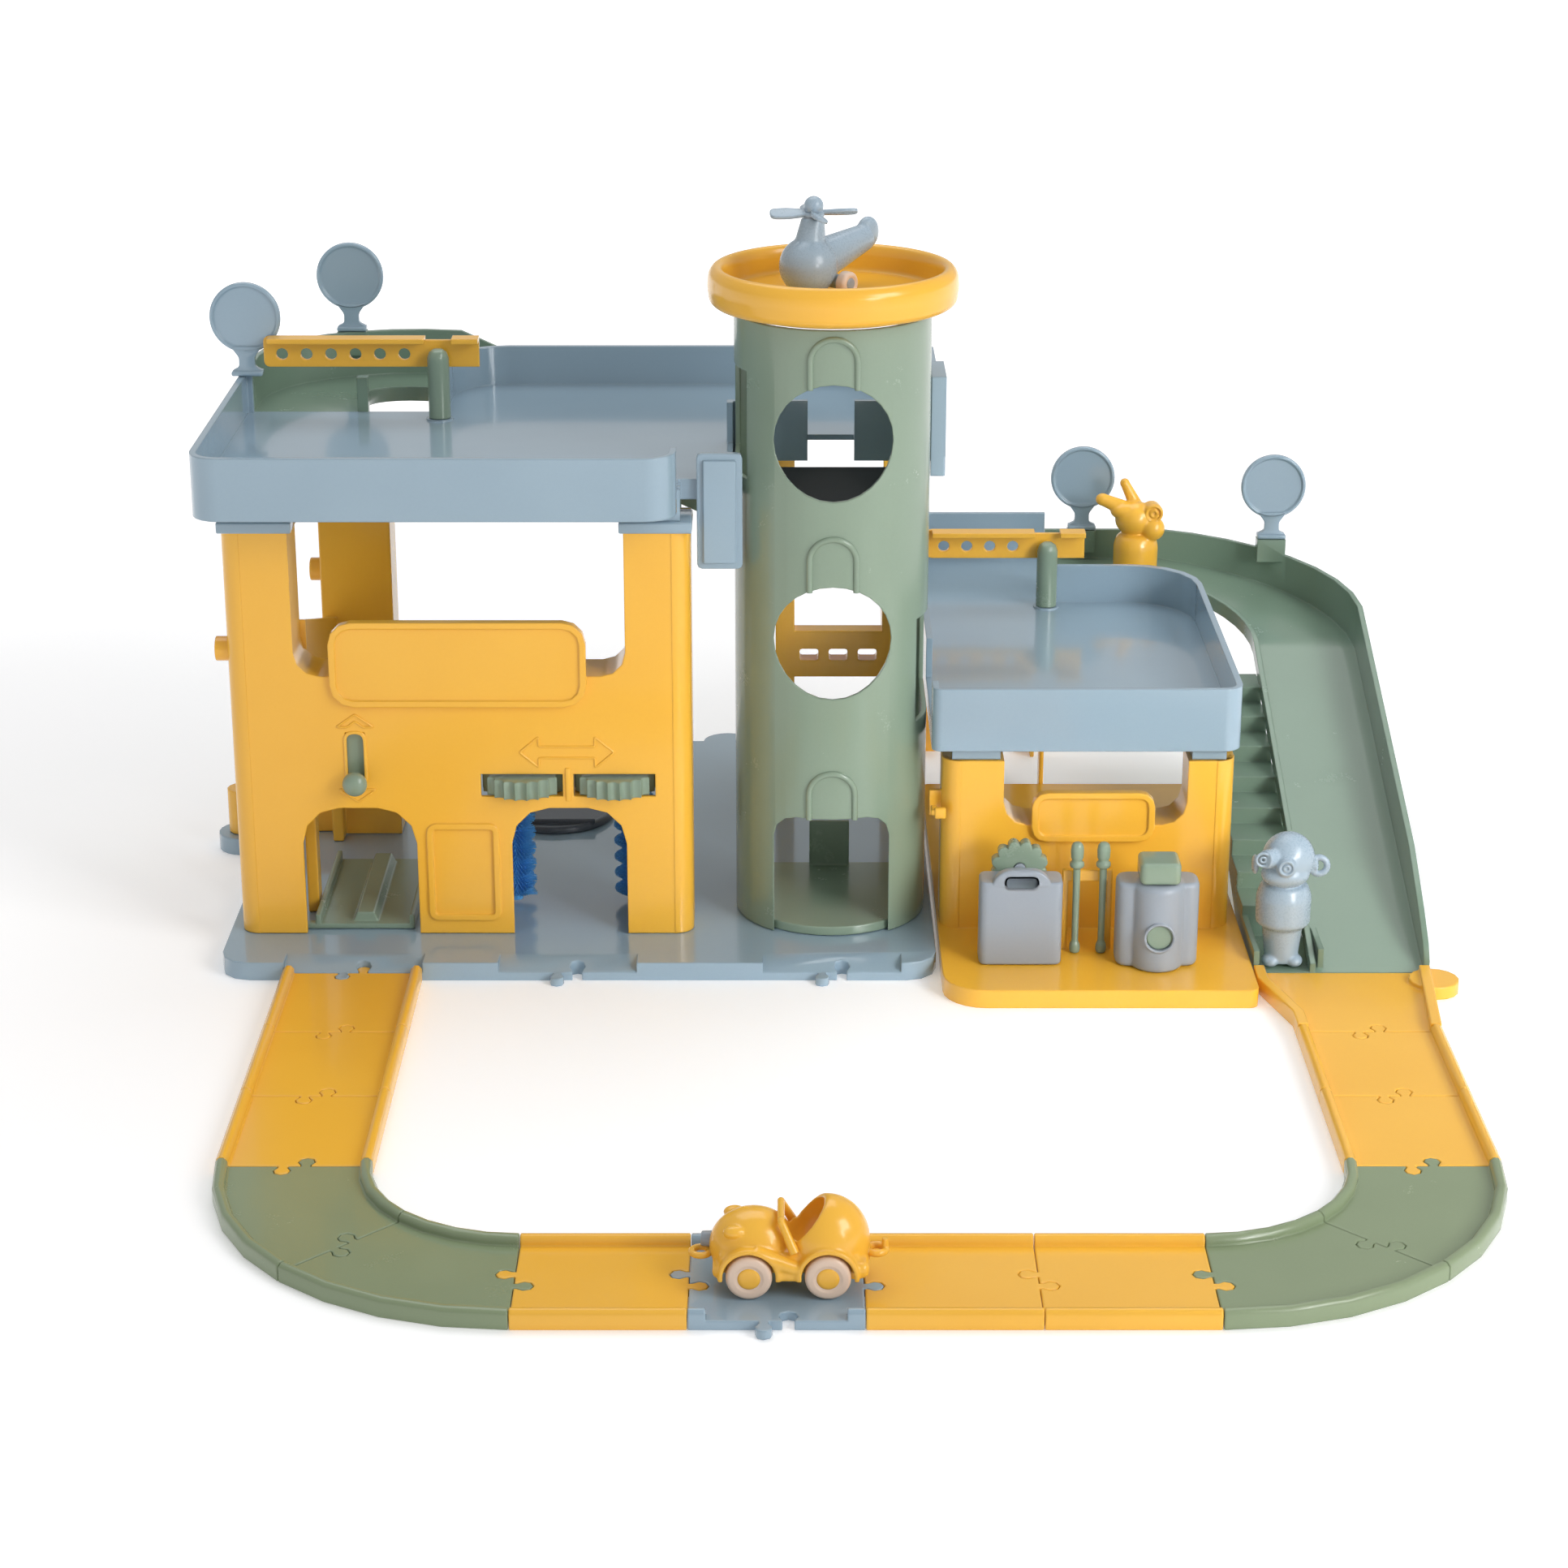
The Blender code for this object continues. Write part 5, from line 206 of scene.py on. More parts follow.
# %% [markdown]
# ## Shaping tools
# Nearly every small part of a toy is one of four things: something turned on a lathe, a flat outline pushed
# out to a slab, a ball, or a rod. Each gets one small function on top of Blender's own mesh operators, with
# sizes in millimetres. Corners of an outline are eased first, because the eye reads a sharp corner as metal
# or paper.


# %% Easing the corners of an outline
def eased(points, radius, steps=4, closed=False):
    smooth = []
    count = len(points)
    for i, point in enumerate(points):
        corner = Vector(point)
        if not closed and i in (0, count - 1):
            smooth.append(corner)
            continue
        before, after = Vector(points[i - 1]), Vector(points[(i + 1) % count])
        reach = min(radius, (corner - before).length / 2.01, (after - corner).length / 2.01)
        start = corner + (before - corner).normalized() * reach
        end = corner + (after - corner).normalized() * reach
        for step in range(steps + 1):
            t = step / steps
            smooth.append(start.lerp(corner, t).lerp(corner.lerp(end, t), t))
    return smooth


def plate_outline(left, right, low, high, radius, steps=5):
    return eased([(left, low), (right, low), (right, high), (left, high)], radius, steps, closed=True)


print("a rounded 20 by 10 plate has", len(plate_outline(0, 20, 0, 10, 3)), "points")


# %% Placing, turning and joining
def placed(bm, at=(0, 0, 0), about=None, angle=0.0, size=None):
    if size:
        bmesh.ops.scale(bm, vec=size, verts=bm.verts)
    if about:
        turn = Matrix.Rotation(math.radians(angle), 3, about)
        bmesh.ops.rotate(bm, cent=(0, 0, 0), matrix=turn, verts=bm.verts)
    bmesh.ops.translate(bm, vec=[v * MM for v in at], verts=bm.verts)
    return bm


def facing_front(bm, at=(0, 0, 0)):
    return placed(bm, at, "X", 90)


def gathered(first, *others):
    for other in others:
        mesh = bpy.data.meshes.new("loose_part")
        other.to_mesh(mesh)
        other.free()
        first.from_mesh(mesh)
        bpy.data.meshes.remove(mesh)
    return first


print("tools ready: placed, facing_front, gathered")


# %% Turned parts
def lathe(profile, steps=64):
    bm = bmesh.new()
    verts = [bm.verts.new((r * MM, 0.0, z * MM)) for r, z in profile]
    edges = [bm.edges.new(pair) for pair in zip(verts, verts[1:])]
    bmesh.ops.spin(bm, geom=verts + edges, cent=(0, 0, 0), axis=(0, 0, 1), angle=math.tau, steps=steps,
                   use_merge=True)
    bmesh.ops.remove_doubles(bm, verts=bm.verts, dist=0.000002)
    bmesh.ops.recalc_face_normals(bm, faces=bm.faces)
    return bm


RING_SECTION = 14


def ring(major, minor, at=(0, 0, 0), steps=40):
    bm = bmesh.new()
    section = bmesh.ops.create_circle(bm, segments=RING_SECTION, radius=minor * MM)["verts"]
    bmesh.ops.rotate(bm, cent=(0, 0, 0), matrix=Matrix.Rotation(math.pi / 2, 3, "X"), verts=section)
    bmesh.ops.translate(bm, vec=(major * MM, 0, 0), verts=section)
    bmesh.ops.spin(bm, geom=bm.verts[:] + bm.edges[:], cent=(0, 0, 0), axis=(0, 0, 1), angle=math.tau,
                   steps=steps, use_merge=True)
    bmesh.ops.remove_doubles(bm, verts=bm.verts, dist=0.000002)
    bmesh.ops.recalc_face_normals(bm, faces=bm.faces)
    return placed(bm, at)


def standing_ring(major, minor, at, angle=90, steps=40):
    return placed(ring(major, minor, steps=steps), at, "X", angle)


def ball(radius, at=(0, 0, 0), size=(1, 1, 1), rings=24):
    bm = bmesh.new()
    bmesh.ops.create_uvsphere(bm, u_segments=rings * 2, v_segments=rings, radius=radius * MM)
    return placed(bm, at, size=size)


def rod(start, end, first, last=None, sides=32):
    start, end = Vector(start), Vector(end)
    bm = bmesh.new()
    bmesh.ops.create_cone(bm, cap_ends=True, segments=sides, radius1=first * MM,
                          radius2=(first if last is None else last) * MM, depth=(end - start).length * MM)
    turn = (end - start).to_track_quat("Z", "Y").to_matrix()
    bmesh.ops.rotate(bm, cent=(0, 0, 0), matrix=turn, verts=bm.verts)
    bmesh.ops.translate(bm, vec=(start + end) / 2 * MM, verts=bm.verts)
    return bm


print("tools ready: lathe, ring, standing_ring, ball, rod")


# %% Slabs and blocks
SHARP_TURN = math.radians(50)


def soften(bm, width, segments=2, slide=False):
    sharp = [e for e in bm.edges if e.is_manifold and e.calc_face_angle(0) > SHARP_TURN]
    bmesh.ops.bevel(bm, geom=sharp, offset=width * MM, offset_type="OFFSET", segments=segments, profile=0.5,
                    material=-1, affect="EDGES", clamp_overlap=True, loop_slide=slide)
    return bm


def slab(outline, low, high, edge=0.4, segments=2):
    bm = bmesh.new()
    face = bm.faces.new([bm.verts.new((x * MM, y * MM, low * MM)) for x, y in outline])
    grown = bmesh.ops.extrude_face_region(bm, geom=[face])["geom"]
    lifted = [g for g in grown if isinstance(g, bmesh.types.BMVert)]
    bmesh.ops.translate(bm, vec=(0, 0, (high - low) * MM), verts=lifted)
    bmesh.ops.recalc_face_normals(bm, faces=bm.faces)
    return soften(bm, edge, segments) if edge else bm


def block(low, high, edge, segments=3):
    bm = bmesh.new()
    bmesh.ops.create_cube(bm, size=1.0)
    size = [(b - a) * MM for a, b in zip(low, high)]
    bmesh.ops.scale(bm, vec=size, verts=bm.verts)
    bmesh.ops.translate(bm, vec=[(a + b) / 2 * MM for a, b in zip(low, high)], verts=bm.verts)
    return soften(bm, edge, segments)


print("tools ready: soften, slab, block")


# %% [markdown]
# ## Cutting and melting
# Two things are awkward to do face by face. One is a hole through a finished part, which a Boolean modifier
# cuts. The other is the soft web where a fender runs into a hood or a neck into a body. Overlapping simple
# shapes are turned into one skin of tiny equal squares, and smoothing that skin rounds every inside corner
# at once.


# %% Modifiers that come back as a mesh
def lent(bm):
    mesh = bpy.data.meshes.new("lent")
    bm.to_mesh(mesh)
    bm.free()
    lump = bpy.data.objects.new("lent", mesh)
    bpy.context.scene.collection.objects.link(lump)
    return lump


def taken_back(lump, tools=()):
    graph = bpy.context.evaluated_depsgraph_get()
    bm = bmesh.new()
    bm.from_mesh(lump.evaluated_get(graph).to_mesh())
    for used in (lump, *tools):
        bpy.data.objects.remove(used)
    return bm


def add_cuts(lump, cutters):
    tools = [lent(cutter) for cutter in cutters]
    for tool in tools:
        cut = lump.modifiers.new("cut", "BOOLEAN")
        cut.operation = "DIFFERENCE"
        cut.solver = "EXACT"
        cut.object = tool
    return tools


def carved(bm, *cutters):
    lump = lent(bm)
    return taken_back(lump, add_cuts(lump, cutters))


def add_skin(lump, voxel):
    melt = lump.modifiers.new("melt", "REMESH")
    melt.mode = "VOXEL"
    melt.voxel_size = voxel * MM


def melted(bm, voxel, rounds, cutters=()):
    lump = lent(bm)
    tools = []
    add_skin(lump, voxel)
    if cutters:
        tools = add_cuts(lump, cutters)
        add_skin(lump, voxel)
    ease = lump.modifiers.new("ease", "SMOOTH")
    ease.iterations = rounds
    ease.factor = 0.5
    return taken_back(lump, tools)


print("tools ready: carved, melted")

# %% [markdown]
# ## From solid to moulding
# A copy of each solid is merged, and every sharp edge gets a small round. A mould can't make a knife edge,
# and it is the thin bright line along each round that makes plastic look like plastic. The normals are then
# weighted by face area, so that the big flat faces stay flat in the reflections and only the narrow rounds
# bend the light. Faces that lie in one plane are first dissolved into one, which leaves the bevel clean
# runs of edges. Four solids have faces with so many corners that they stay as triangles.

# %% Rounding a copy of a solid
SLOT_FINISH = {"yellow": YELLOW, "blue": BLUE, "green": GREEN, "grey": GREY, "cream": CREAM,
               "bristle_blue": BRISTLE, "dark": DARK}
NODE_BODY = {}
for body, members in frame["record"]["behaviour"]["bodies"].items():
    for member in members:
        NODE_BODY[member] = body
made = {}
redrawn = set()


def node_slot(node):
    return frame["nodes"][node].data.materials[0].name.split(".")[0]


def settle(name, bm, finish, body, stands_for=(), smooth=35):
    bmesh.ops.recalc_face_normals(bm, faces=bm.faces)
    mesh = bpy.data.meshes.new(name)
    bm.to_mesh(mesh)
    bm.free()
    mesh.shade_smooth()
    mesh.set_sharp_from_angle(angle=math.radians(smooth))
    mesh.materials.append(finish)
    piece = bpy.data.objects.new(name, mesh)
    bpy.context.scene.collection.objects.link(piece)
    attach(piece, body)
    if stands_for:
        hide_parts(*stands_for)
        redrawn.update(stands_for)
    made[name] = len(mesh.polygons)
    return piece


KEEP_TRIANGLES = {"base_plate", "right_front_wall", "upper_ramp", "upper_arm"}
EDGE_ROUND = 0.6


def moulded(node, finish):
    bm = bmesh.new()
    bm.from_mesh(frame["nodes"][node].data)
    bmesh.ops.remove_doubles(bm, verts=bm.verts, dist=0.000002)
    if node not in KEEP_TRIANGLES:
        bmesh.ops.dissolve_limit(bm, angle_limit=math.radians(1), verts=bm.verts, edges=bm.edges)
    soften(bm, EDGE_ROUND, 2, slide=True)
    piece = settle(node + "_moulding", bm, finish, NODE_BODY[node], (node,), 50)
    flat = piece.modifiers.new("flat_faces", "WEIGHTED_NORMAL")
    flat.mode = "FACE_AREA"
    flat.weight = 80
    flat.keep_sharp = True
    return piece


print("every body of the model:", sorted(set(NODE_BODY.values())))

# %% [markdown]
# ## The landing ring
# On the real tower the ring is one fat round tyre of plastic: its outer wall bulges, its rim is flat and
# wide, and the inside falls away to a shallow dish. A dozen points turned on a lathe give all of that, with
# far rounder walls than a solid model needs.

# %% Landing ring on the tower
PAD_PROFILE = [(0, 344), (47, 344), (47, 338.4), (50.2, 338.4), (53, 340.9), (60.2, 340.9), (63.6, 343.4),
               (64.6, 351), (63.9, 357.8), (61, 361.2), (57.6, 361.0), (55.8, 357), (55.1, 347), (0, 347)]
pad = lathe(eased(PAD_PROFILE, 2.4, 5), 120)
settle("landing_ring", pad, YELLOW, "garage", ("helipad_ring",))
print("landing ring:", made["landing_ring"], "faces")

# %% [markdown]
# ## The helicopter
# The little helicopter is a ball with a chimney for the rotor and a thick tail boom, all in one moulding
# with soft webs between. Its ball is split by one seam. It is built lying along X, melted, and then turned
# to its heading.

# %% Helicopter body
HELI_PLACE = (-12.7, -5.0, 347.3)
HELI_HEADING = 228


def on_pad(bm):
    return placed(bm, HELI_PLACE, "Z", HELI_HEADING)


hull = gathered(ball(15.0, (0, 0, 14.2), rings=32),
                rod((-0.5, 0, 22), (-3.6, 0, 37.6), 8.6, 6.0), ring(5.6, 0.5, (-3.6, 0, 37.6)),
                rod((-3, 0, 15), (-44, 0, 23.0), 11.4, 6.8), ball(7.4, (-46, 0, 25.0), (1.0, 0.62, 1.12)),
                rod((-10, -13.5, 6.2), (-10, 13.5, 6.2), 3.6), rod((-10, 0, 6.2), (-2, 0, 12), 6.5, 9))
floor_cut = block((-60, -30, -20), (40, 30, 0.9), 0)
hull = melted(hull, 0.5, 10, (floor_cut, block((-6, -1, 38.7), (-2, 1, 60), 0)))
seam = placed(ring(15.0, 0.5, steps=64), (-5.0, 0, 14.2), "Y", 90)
bmesh.ops.scale(seam, vec=(1.0, 0.95, 0.95), verts=seam.verts, space=Matrix.Translation((0, 0, -14.2 * MM)))
hull = on_pad(carved(hull, seam))
settle("helicopter_hull", hull, PALE_BLUE, "helicopter", ("helicopter_body",), 60)
print("helicopter hull:", made["helicopter_hull"], "faces")

# %% [markdown]
# Four blades stand round a domed cap that spins on the chimney. A flat blade would vanish when it is seen
# from the side, and a real one is pitched, so each one is tilted about its own length before it is turned
# into place.

# %% Rotor
BLADE_PITCH = -24
blade = eased([(2, -2.2), (14, -4.1), (22.6, -3.6), (22.6, 3.6), (14, 4.1), (2, 2.2)], 3.2, 6, closed=True)
rotor = lathe(eased([(0, 0.1), (5.4, 0.1), (5.6, 1.0), (5.2, 2.4), (0, 2.4)], 0.5), 40)
rotor = gathered(rotor, ball(5.0, (0, 0, 5.3)))
for quarter in range(4):
    pitched = placed(slab(blade, -0.9, 0.9, 0.7, 3), (0, 0, 1.8), "X", BLADE_PITCH)
    rotor = gathered(rotor, placed(pitched, about="Z", angle=100 + 90 * quarter - HELI_HEADING))
rotor = on_pad(placed(rotor, (-4.0, 0, 39.0)))
settle("helicopter_blades", rotor, PALE_BLUE, "helicopter_rotor", ("helicopter_rotor",))
print("rotor:", made["helicopter_blades"], "faces")

# %% [markdown]
# ## Wheels
# Each small wheel is a cream tyre with rounded shoulders and a domed cap of another colour that snaps into
# it. Tyre and cap are separate turned parts, so the thin line between the two colours is a real step.


# %% A pair of wheels on one axle
def tyre(radius, width):
    half = width / 2
    return [(0, -half), (radius * 0.55, -half), (radius * 0.6, -half - 0.01), (radius - 0.6, -half),
            (radius, 0.6 - half), (radius, half - 1.2), (radius - 1.1, half), (radius * 0.62, half),
            (radius * 0.56, half - 0.5), (0, half - 0.5)]


def dome(radius, base, rise):
    profile = [(0, base), (radius, base), (radius, base + rise * 0.4), (radius * 0.72, base + rise * 0.92),
               (0, base + rise)]
    return eased(profile, radius * 0.35, 5)


def wheels(radius, width, track, axle):
    pair, caps = [], []
    for side in (-1, 1):
        middle = side * (track / 2 - width / 2)
        outer = lathe(eased(tyre(radius, width), 0.7), 56)
        hub = lathe(dome(radius * 0.5, width / 2 - 0.8, 0.8), 40)
        for part, group in ((outer, pair), (hub, caps)):
            if side < 0:
                placed(part, about="X", angle=180)
            group.append(placed(part, (0, 0, middle)))
    pair.append(rod((0, 0, width - track / 2), (0, 0, track / 2 - width), axle))
    return gathered(*pair), gathered(*caps)


heli_tyres, heli_caps = wheels(6.1, 6.0, 41.0, 1.8)
for bm in (heli_tyres, heli_caps):
    on_pad(placed(bm, (-10, 0, 6.1), "X", 90))
settle("helicopter_tyres", heli_tyres, CREAM, "helicopter_wheels", ("helicopter_wheels",))
settle("helicopter_hubs", heli_caps, GREY, "helicopter_wheels", ())
print("helicopter tyres:", made["helicopter_tyres"], "faces")

# %% [markdown]
# ## The car
# The car is a chunky roadster: a fat bonnet with two raised lamps, wings that flow down to a sill, a low
# windscreen frame, and a rounded hood that curls over the seat. A ring at each end lets it be towed. The
# big masses are balls and rods; the wheel arches, the open seat and the flat belly are cut out of them.

# %% Car body
CAR_PLACE = (-23.2, -419.0, 4.8)
CAR_WHEEL_X = {"car_wheels_front": -16.8, "car_wheels_rear": 16.8}
CAR_AXLE_Z = 9.9
bonnet, tail = ball(1, (-15, 0, 17), (19, 15.4, 17), 32), ball(1, (16.4, 0, 19.4), (18.6, 17.2, 20.2), 32)
car = gathered(bonnet, tail,
               block((-30, -14.5, 7.5), (31, 14.5, 20), 4.0), block((-32.5, -17, 8.5), (-22, 17, 14.0), 2.6),
               block((24, -17.5, 8.5), (34.4, 17.5, 16), 3), block((-10, -18.2, 7.5), (10, 18.2, 13), 2.2))
for x in CAR_WHEEL_X.values():
    car = gathered(car, rod((x, -18.8, CAR_AXLE_Z), (x, 18.8, CAR_AXLE_Z), 13.4, sides=64))
for y in (-15.2, 15.2):
    car = gathered(car, rod((-15, y, 20), (5, y, 12.5), 4.2, 3.2), ball(3.2, (5, y, 12.5)),
                   ball(1, (-23, 0.62 * y, 27.6), (5.0, 3.4, 2.8)))
hood_cut = facing_front(slab([(3.6, 24), (29, 54), (-8, 54), (-8, 33.5)], -30, 30, 0))
seat_cut = ball(1, (9.5, 0, 27), (12, 12.4, 12), 28)
belly_cut = block((-60, -40, -20), (60, 40, 8.2), 0)
arch_cuts = [rod((x, side * 10.2, CAR_AXLE_Z), (x, side * 30, CAR_AXLE_Z), 11.3, sides=64)
             for x in CAR_WHEEL_X.values() for side in (-1, 1)]
car = melted(car, 0.45, 7, (hood_cut, seat_cut, belly_cut, *arch_cuts))
print("car skin:", len(car.faces), "faces")

# %% [markdown]
# Details thinner than the melted skin's squares would be lost in it, so the tow rings, the windscreen frame
# and the lamp are added afterwards as clean shapes whose ends run into the body.

# %% Tow rings, windscreen, lamp and wheels of the car
hooks = gathered(ring(3.9, 1.5, (-37.6, 0, 13.5)), ring(3.9, 1.6, (37.8, 0, 14.5)),
                 block((32.5, -2.2, 10), (35, 2.2, 20), 0.9),
                 rod((41.4, 0, 14.5), (41.4, 0, 19.8), 1.6, 1.3))
screen = [rod((2.6, side * 14.4, 20), (-3.2, side * 9.4, 32.8), 2.2, 1.6) for side in (-1, 1)]
screen += [ball(1.6, (-3.2, side * 9.4, 32.8)) for side in (-1, 1)]
screen = gathered(rod((-3.2, -9.4, 32.8), (-3.2, 9.4, 32.8), 1.6), *screen)
car = placed(gathered(car, hooks, screen), CAR_PLACE)
settle("car_shell", car, YELLOW, "car", ("car_body",), 50)
lamp = rod((-37.6, 3.5, 18.0), (-32.0, 3.5, 17.6), 3.2, 3.7)
settle("car_nose_lamp", placed(soften(lamp, 0.8, 3), CAR_PLACE), GREY, "car", ())
for node, x in CAR_WHEEL_X.items():
    tyres, caps = wheels(9.9, 8.0, 38.0, 2.2)
    for bm in (tyres, caps):
        placed(placed(bm, (x, 0, CAR_AXLE_Z), "X", 90), CAR_PLACE)
    settle(node + "_tyres", tyres, CREAM, node, (node,))
    settle(node + "_hubs", caps, YELLOW, node, ())
print("car shell:", made["car_shell"], "faces")

# %% [markdown]
# ## Two small animals
# Both figures are one moulding each. The grey monkey has a ball head with round spectacles, a wide muzzle
# and a cupped ear, on a barrel body whose hem overhangs two short legs. The yellow rabbit looks up to one
# side with its ears laid back. The faces stay plain: a few rings and one soft line.

# %% Monkey
MONKEY_PLACE = (236.5, -70.0, 4.8)
FLOOR_CUT = (-30, -30, -20), (30, 30, 0.0), 0
TORSO = [(0, 1.5), (8.6, 1.5), (10.4, 20.0), (10.8, 21.0), (14.2, 23.5), (14.4, 38), (12.2, 44.5), (6, 46),
         (0, 46)]
head = ball(13.8, (1.4, 0.5, 58.4), (1.0, 0.95, 1.03), 32)
muzzle = ball(1, (-0.6, -4.6, 51.6), (12.6, 9.6, 7.2), 28)
monkey = gathered(lathe(eased(TORSO, 1.6, 5), 72), head, muzzle,
                  rod((-5.0, -5.0, 61), (-12.8, -11.6, 62.2), 5.0, 4.9),
                  rod((-1.6, -8.0, 58.4), (-1.6, -15.0, 58.6), 5.1), rod((-8, -10, 61), (0, -12.5, 59), 1.6))
for side in (-1, 1):
    monkey = gathered(monkey, ball(1, (6.2 * side, -4.6, 3.0), (4.6, 5.8, 3.3)),
                      placed(ball(1, size=(1.8, 4.8, 5.4)), (15.6 * side, 1.5, 54.6)))
monkey = melted(monkey, 0.45, 6, (block(*FLOOR_CUT),))
SIDE_EYE, FRONT_EYE = (-13.6, -12.2, 62.3), (-1.6, -15.2, 58.6)
rings = gathered(standing_ring(3.5, 0.75, SIDE_EYE), standing_ring(3.7, 0.75, FRONT_EYE),
                 standing_ring(1.5, 0.6, FRONT_EYE), standing_ring(1.4, 0.6, SIDE_EYE),
                 standing_ring(4.3, 1.7, (17.4, -0.6, 54.6), 80))
monkey = placed(gathered(monkey, rings), MONKEY_PLACE)
settle("monkey_skin", monkey, PALE_BLUE, "monkey", ("monkey_figure",), 60)
print("monkey:", made["monkey_skin"], "faces")

# %% Rabbit
RABBIT_PLACE = (187.0, 253.0, 123.9)
CHEST = [(0, 0), (13.2, 0), (13.4, 17), (11.6, 22.5), (8.0, 24.6), (0, 24.6)]
rabbit = gathered(lathe(eased(CHEST, 2.2, 5), 72),
                  ball(12.0, (-1, 0, 33), (1.0, 0.95, 0.88), 28), ball(1, (-7, -1.5, 38), (9, 6.5, 5.2)),
                  rod((-6, 0.5, 38.5), (-20.5, 0.5, 44.6), 4.9, 3.7),
                  ball(3.8, (-20.8, 0.5, 44.7), (1.1, 1.0, 1.0)),
                  rod((0, 4, 39.5), (-7.0, 6, 53), 4.2, 2.8), ball(2.9, (-7.2, 6, 53.4)),
                  ball(7.2, (9.4, -5.4, 28.2)), rod((8.6, 1.0, 37.8), (9.4, -8.4, 38.2), 6.2, 5.8))
rabbit = melted(rabbit, 0.45, 6, (block(*FLOOR_CUT),))
RABBIT_EYE = (9.4, -8.6, 38.2)
rabbit = gathered(rabbit, standing_ring(4.6, 0.8, RABBIT_EYE), standing_ring(1.9, 0.8, RABBIT_EYE))
settle("rabbit_skin", placed(rabbit, RABBIT_PLACE), YELLOW, "rabbit", ("rabbit_figure",), 60)
print("rabbit:", made["rabbit_skin"], "faces")

# %% [markdown]
# ## The pump station
# A fuel can with a handle slot, a scalloped wheel half hidden behind it, a three-lobed flask with a square
# cap and a round dial, and two stirring tools with bulb heads stand on the foot plate of the shop.

# %% Fuel can
FOOT_TOP = 10.3
CAN_FACE = 88.0
CAN_PIN = (98, -68.7, 57)


def hand_slot(deep, front):
    return facing_front(slab(plate_outline(90, 106, 53.4, 59, 2.6, 8), deep, front, 0))


can = slab(plate_outline(76.5, 119.5, -CAN_FACE, -69, 4.6, 8), FOOT_TOP, 56.2, 1.6, 4)
handle = eased([(81, 54), (115, 54), (108.5, 63.0), (87.5, 63.0)], 6.0, 8, closed=True)
handle = facing_front(slab(handle, 82.2, CAN_FACE, 0.9, 3))
lip = facing_front(slab(plate_outline(88.9, 107.1, 52.3, 60.1, 3.7, 8), 87.6, CAN_FACE, 0.15))
pin = rod((98, -70, 57), (98, -61.8, 57), 3.0)
can = gathered(carved(can, hand_slot(76, 92)), carved(handle, hand_slot(76, 92)),
               carved(lip, hand_slot(80, 92)), pin)
settle("fuel_can_shell", can, GREY, "garage", ("fuel_can",))
print("fuel can:", made["fuel_can_shell"], "faces")

# %% [markdown]
# The wheel behind the can has round lobes, and the two thumb wheels in the wall have narrow ribs with
# hollows between, so that a finger can push them round. Both outlines come from one wave that runs round a
# circle, once with its round side out and once with its sharp side out.


# %% Scalloped wheels
def scallops(radius, dip, count, hollow, points=14):
    outline = []
    for i in range(count * points):
        turn = math.tau * i / (count * points)
        wave = abs(math.sin(count * turn / 2)) ** 0.7
        reach = radius - dip * (wave if hollow else 1 - wave)
        outline.append((reach * math.cos(turn), reach * math.sin(turn)))
    return outline


def scalloped_wheel(radius, dip, count, height, bore, hollow=False):
    wheel = slab(scallops(radius, dip, count, hollow), 0, height, 0.6, 2)
    return carved(wheel, rod((0, 0, -5), (0, 0, height + 5), bore))


WHEEL_BORE = 3.3
can_wheel = placed(scalloped_wheel(15.0, 2.8, 12, 7, WHEEL_BORE), CAN_PIN, "X", -90)
settle("can_wheel_rim", can_wheel, GREEN, "can_wheel", ("can_wheel",))
for side, x in (("left", -162.8), ("right", -114.2)):
    thumb = placed(scalloped_wheel(22, 2.6, 22, 10, WHEEL_BORE, True), (x, -31, 88.3))
    settle("thumb_wheel_" + side, thumb, GREEN, "wash_wheel_" + side, ("wash_wheel_" + side,))
print("thumb wheel:", made["thumb_wheel_left"], "faces")

# %% [markdown]
# The flask is a flat body with a round lobe in front. Melting the two together gives the soft vertical
# creases between them. The dial is a separate green button in a round hole with a thin raised rim.

# %% Flask and cap
FLASK_X, DIAL_Z = 169, 30
LOBE = [(0, FOOT_TOP), (13.9, FOOT_TOP), (14.0, 55.2), (11.6, 57.4), (0, 57.4)]
flask = gathered(slab(plate_outline(147.6, 190.4, -90.4, -69.6, 7.6, 8), FOOT_TOP, 56.5, 2.4, 5),
                 placed(lathe(eased(LOBE, 2.0, 6), 72), (FLASK_X, -85, 0)))
flask = melted(flask, 0.5, 5)
dial_hole = rod((FLASK_X, -110, DIAL_Z), (FLASK_X, -96.6, DIAL_Z), 7.0, sides=64)
flask = gathered(carved(flask, dial_hole), standing_ring(7.6, 0.8, (FLASK_X, -98.9, DIAL_Z), steps=56))
settle("flask_shell", flask, GREY, "garage", ("flask",), 50)
DIAL = [(0, 90), (6.9, 90), (6.9, 97.2), (6.2, 97.7), (0, 98.0)]
dial = facing_front(placed(lathe(eased(DIAL, 0.5), 48), (FLASK_X, DIAL_Z, 0)))
settle("flask_dial", dial, GREEN, "garage", ())
cap = slab(plate_outline(158.5, 179.5, -95.5, -74.5, 3.6, 8), 57.8, 69.5, 2.2, 4)
settle("flask_cap_cover", cap, GREEN, "garage", ("flask_cap",))
print("flask:", made["flask_shell"], "faces, cap:", made["flask_cap_cover"])

# %% [markdown]
# Each tool is one profile turned on a lathe: a small foot, a thin shaft, a collar and a bulb.

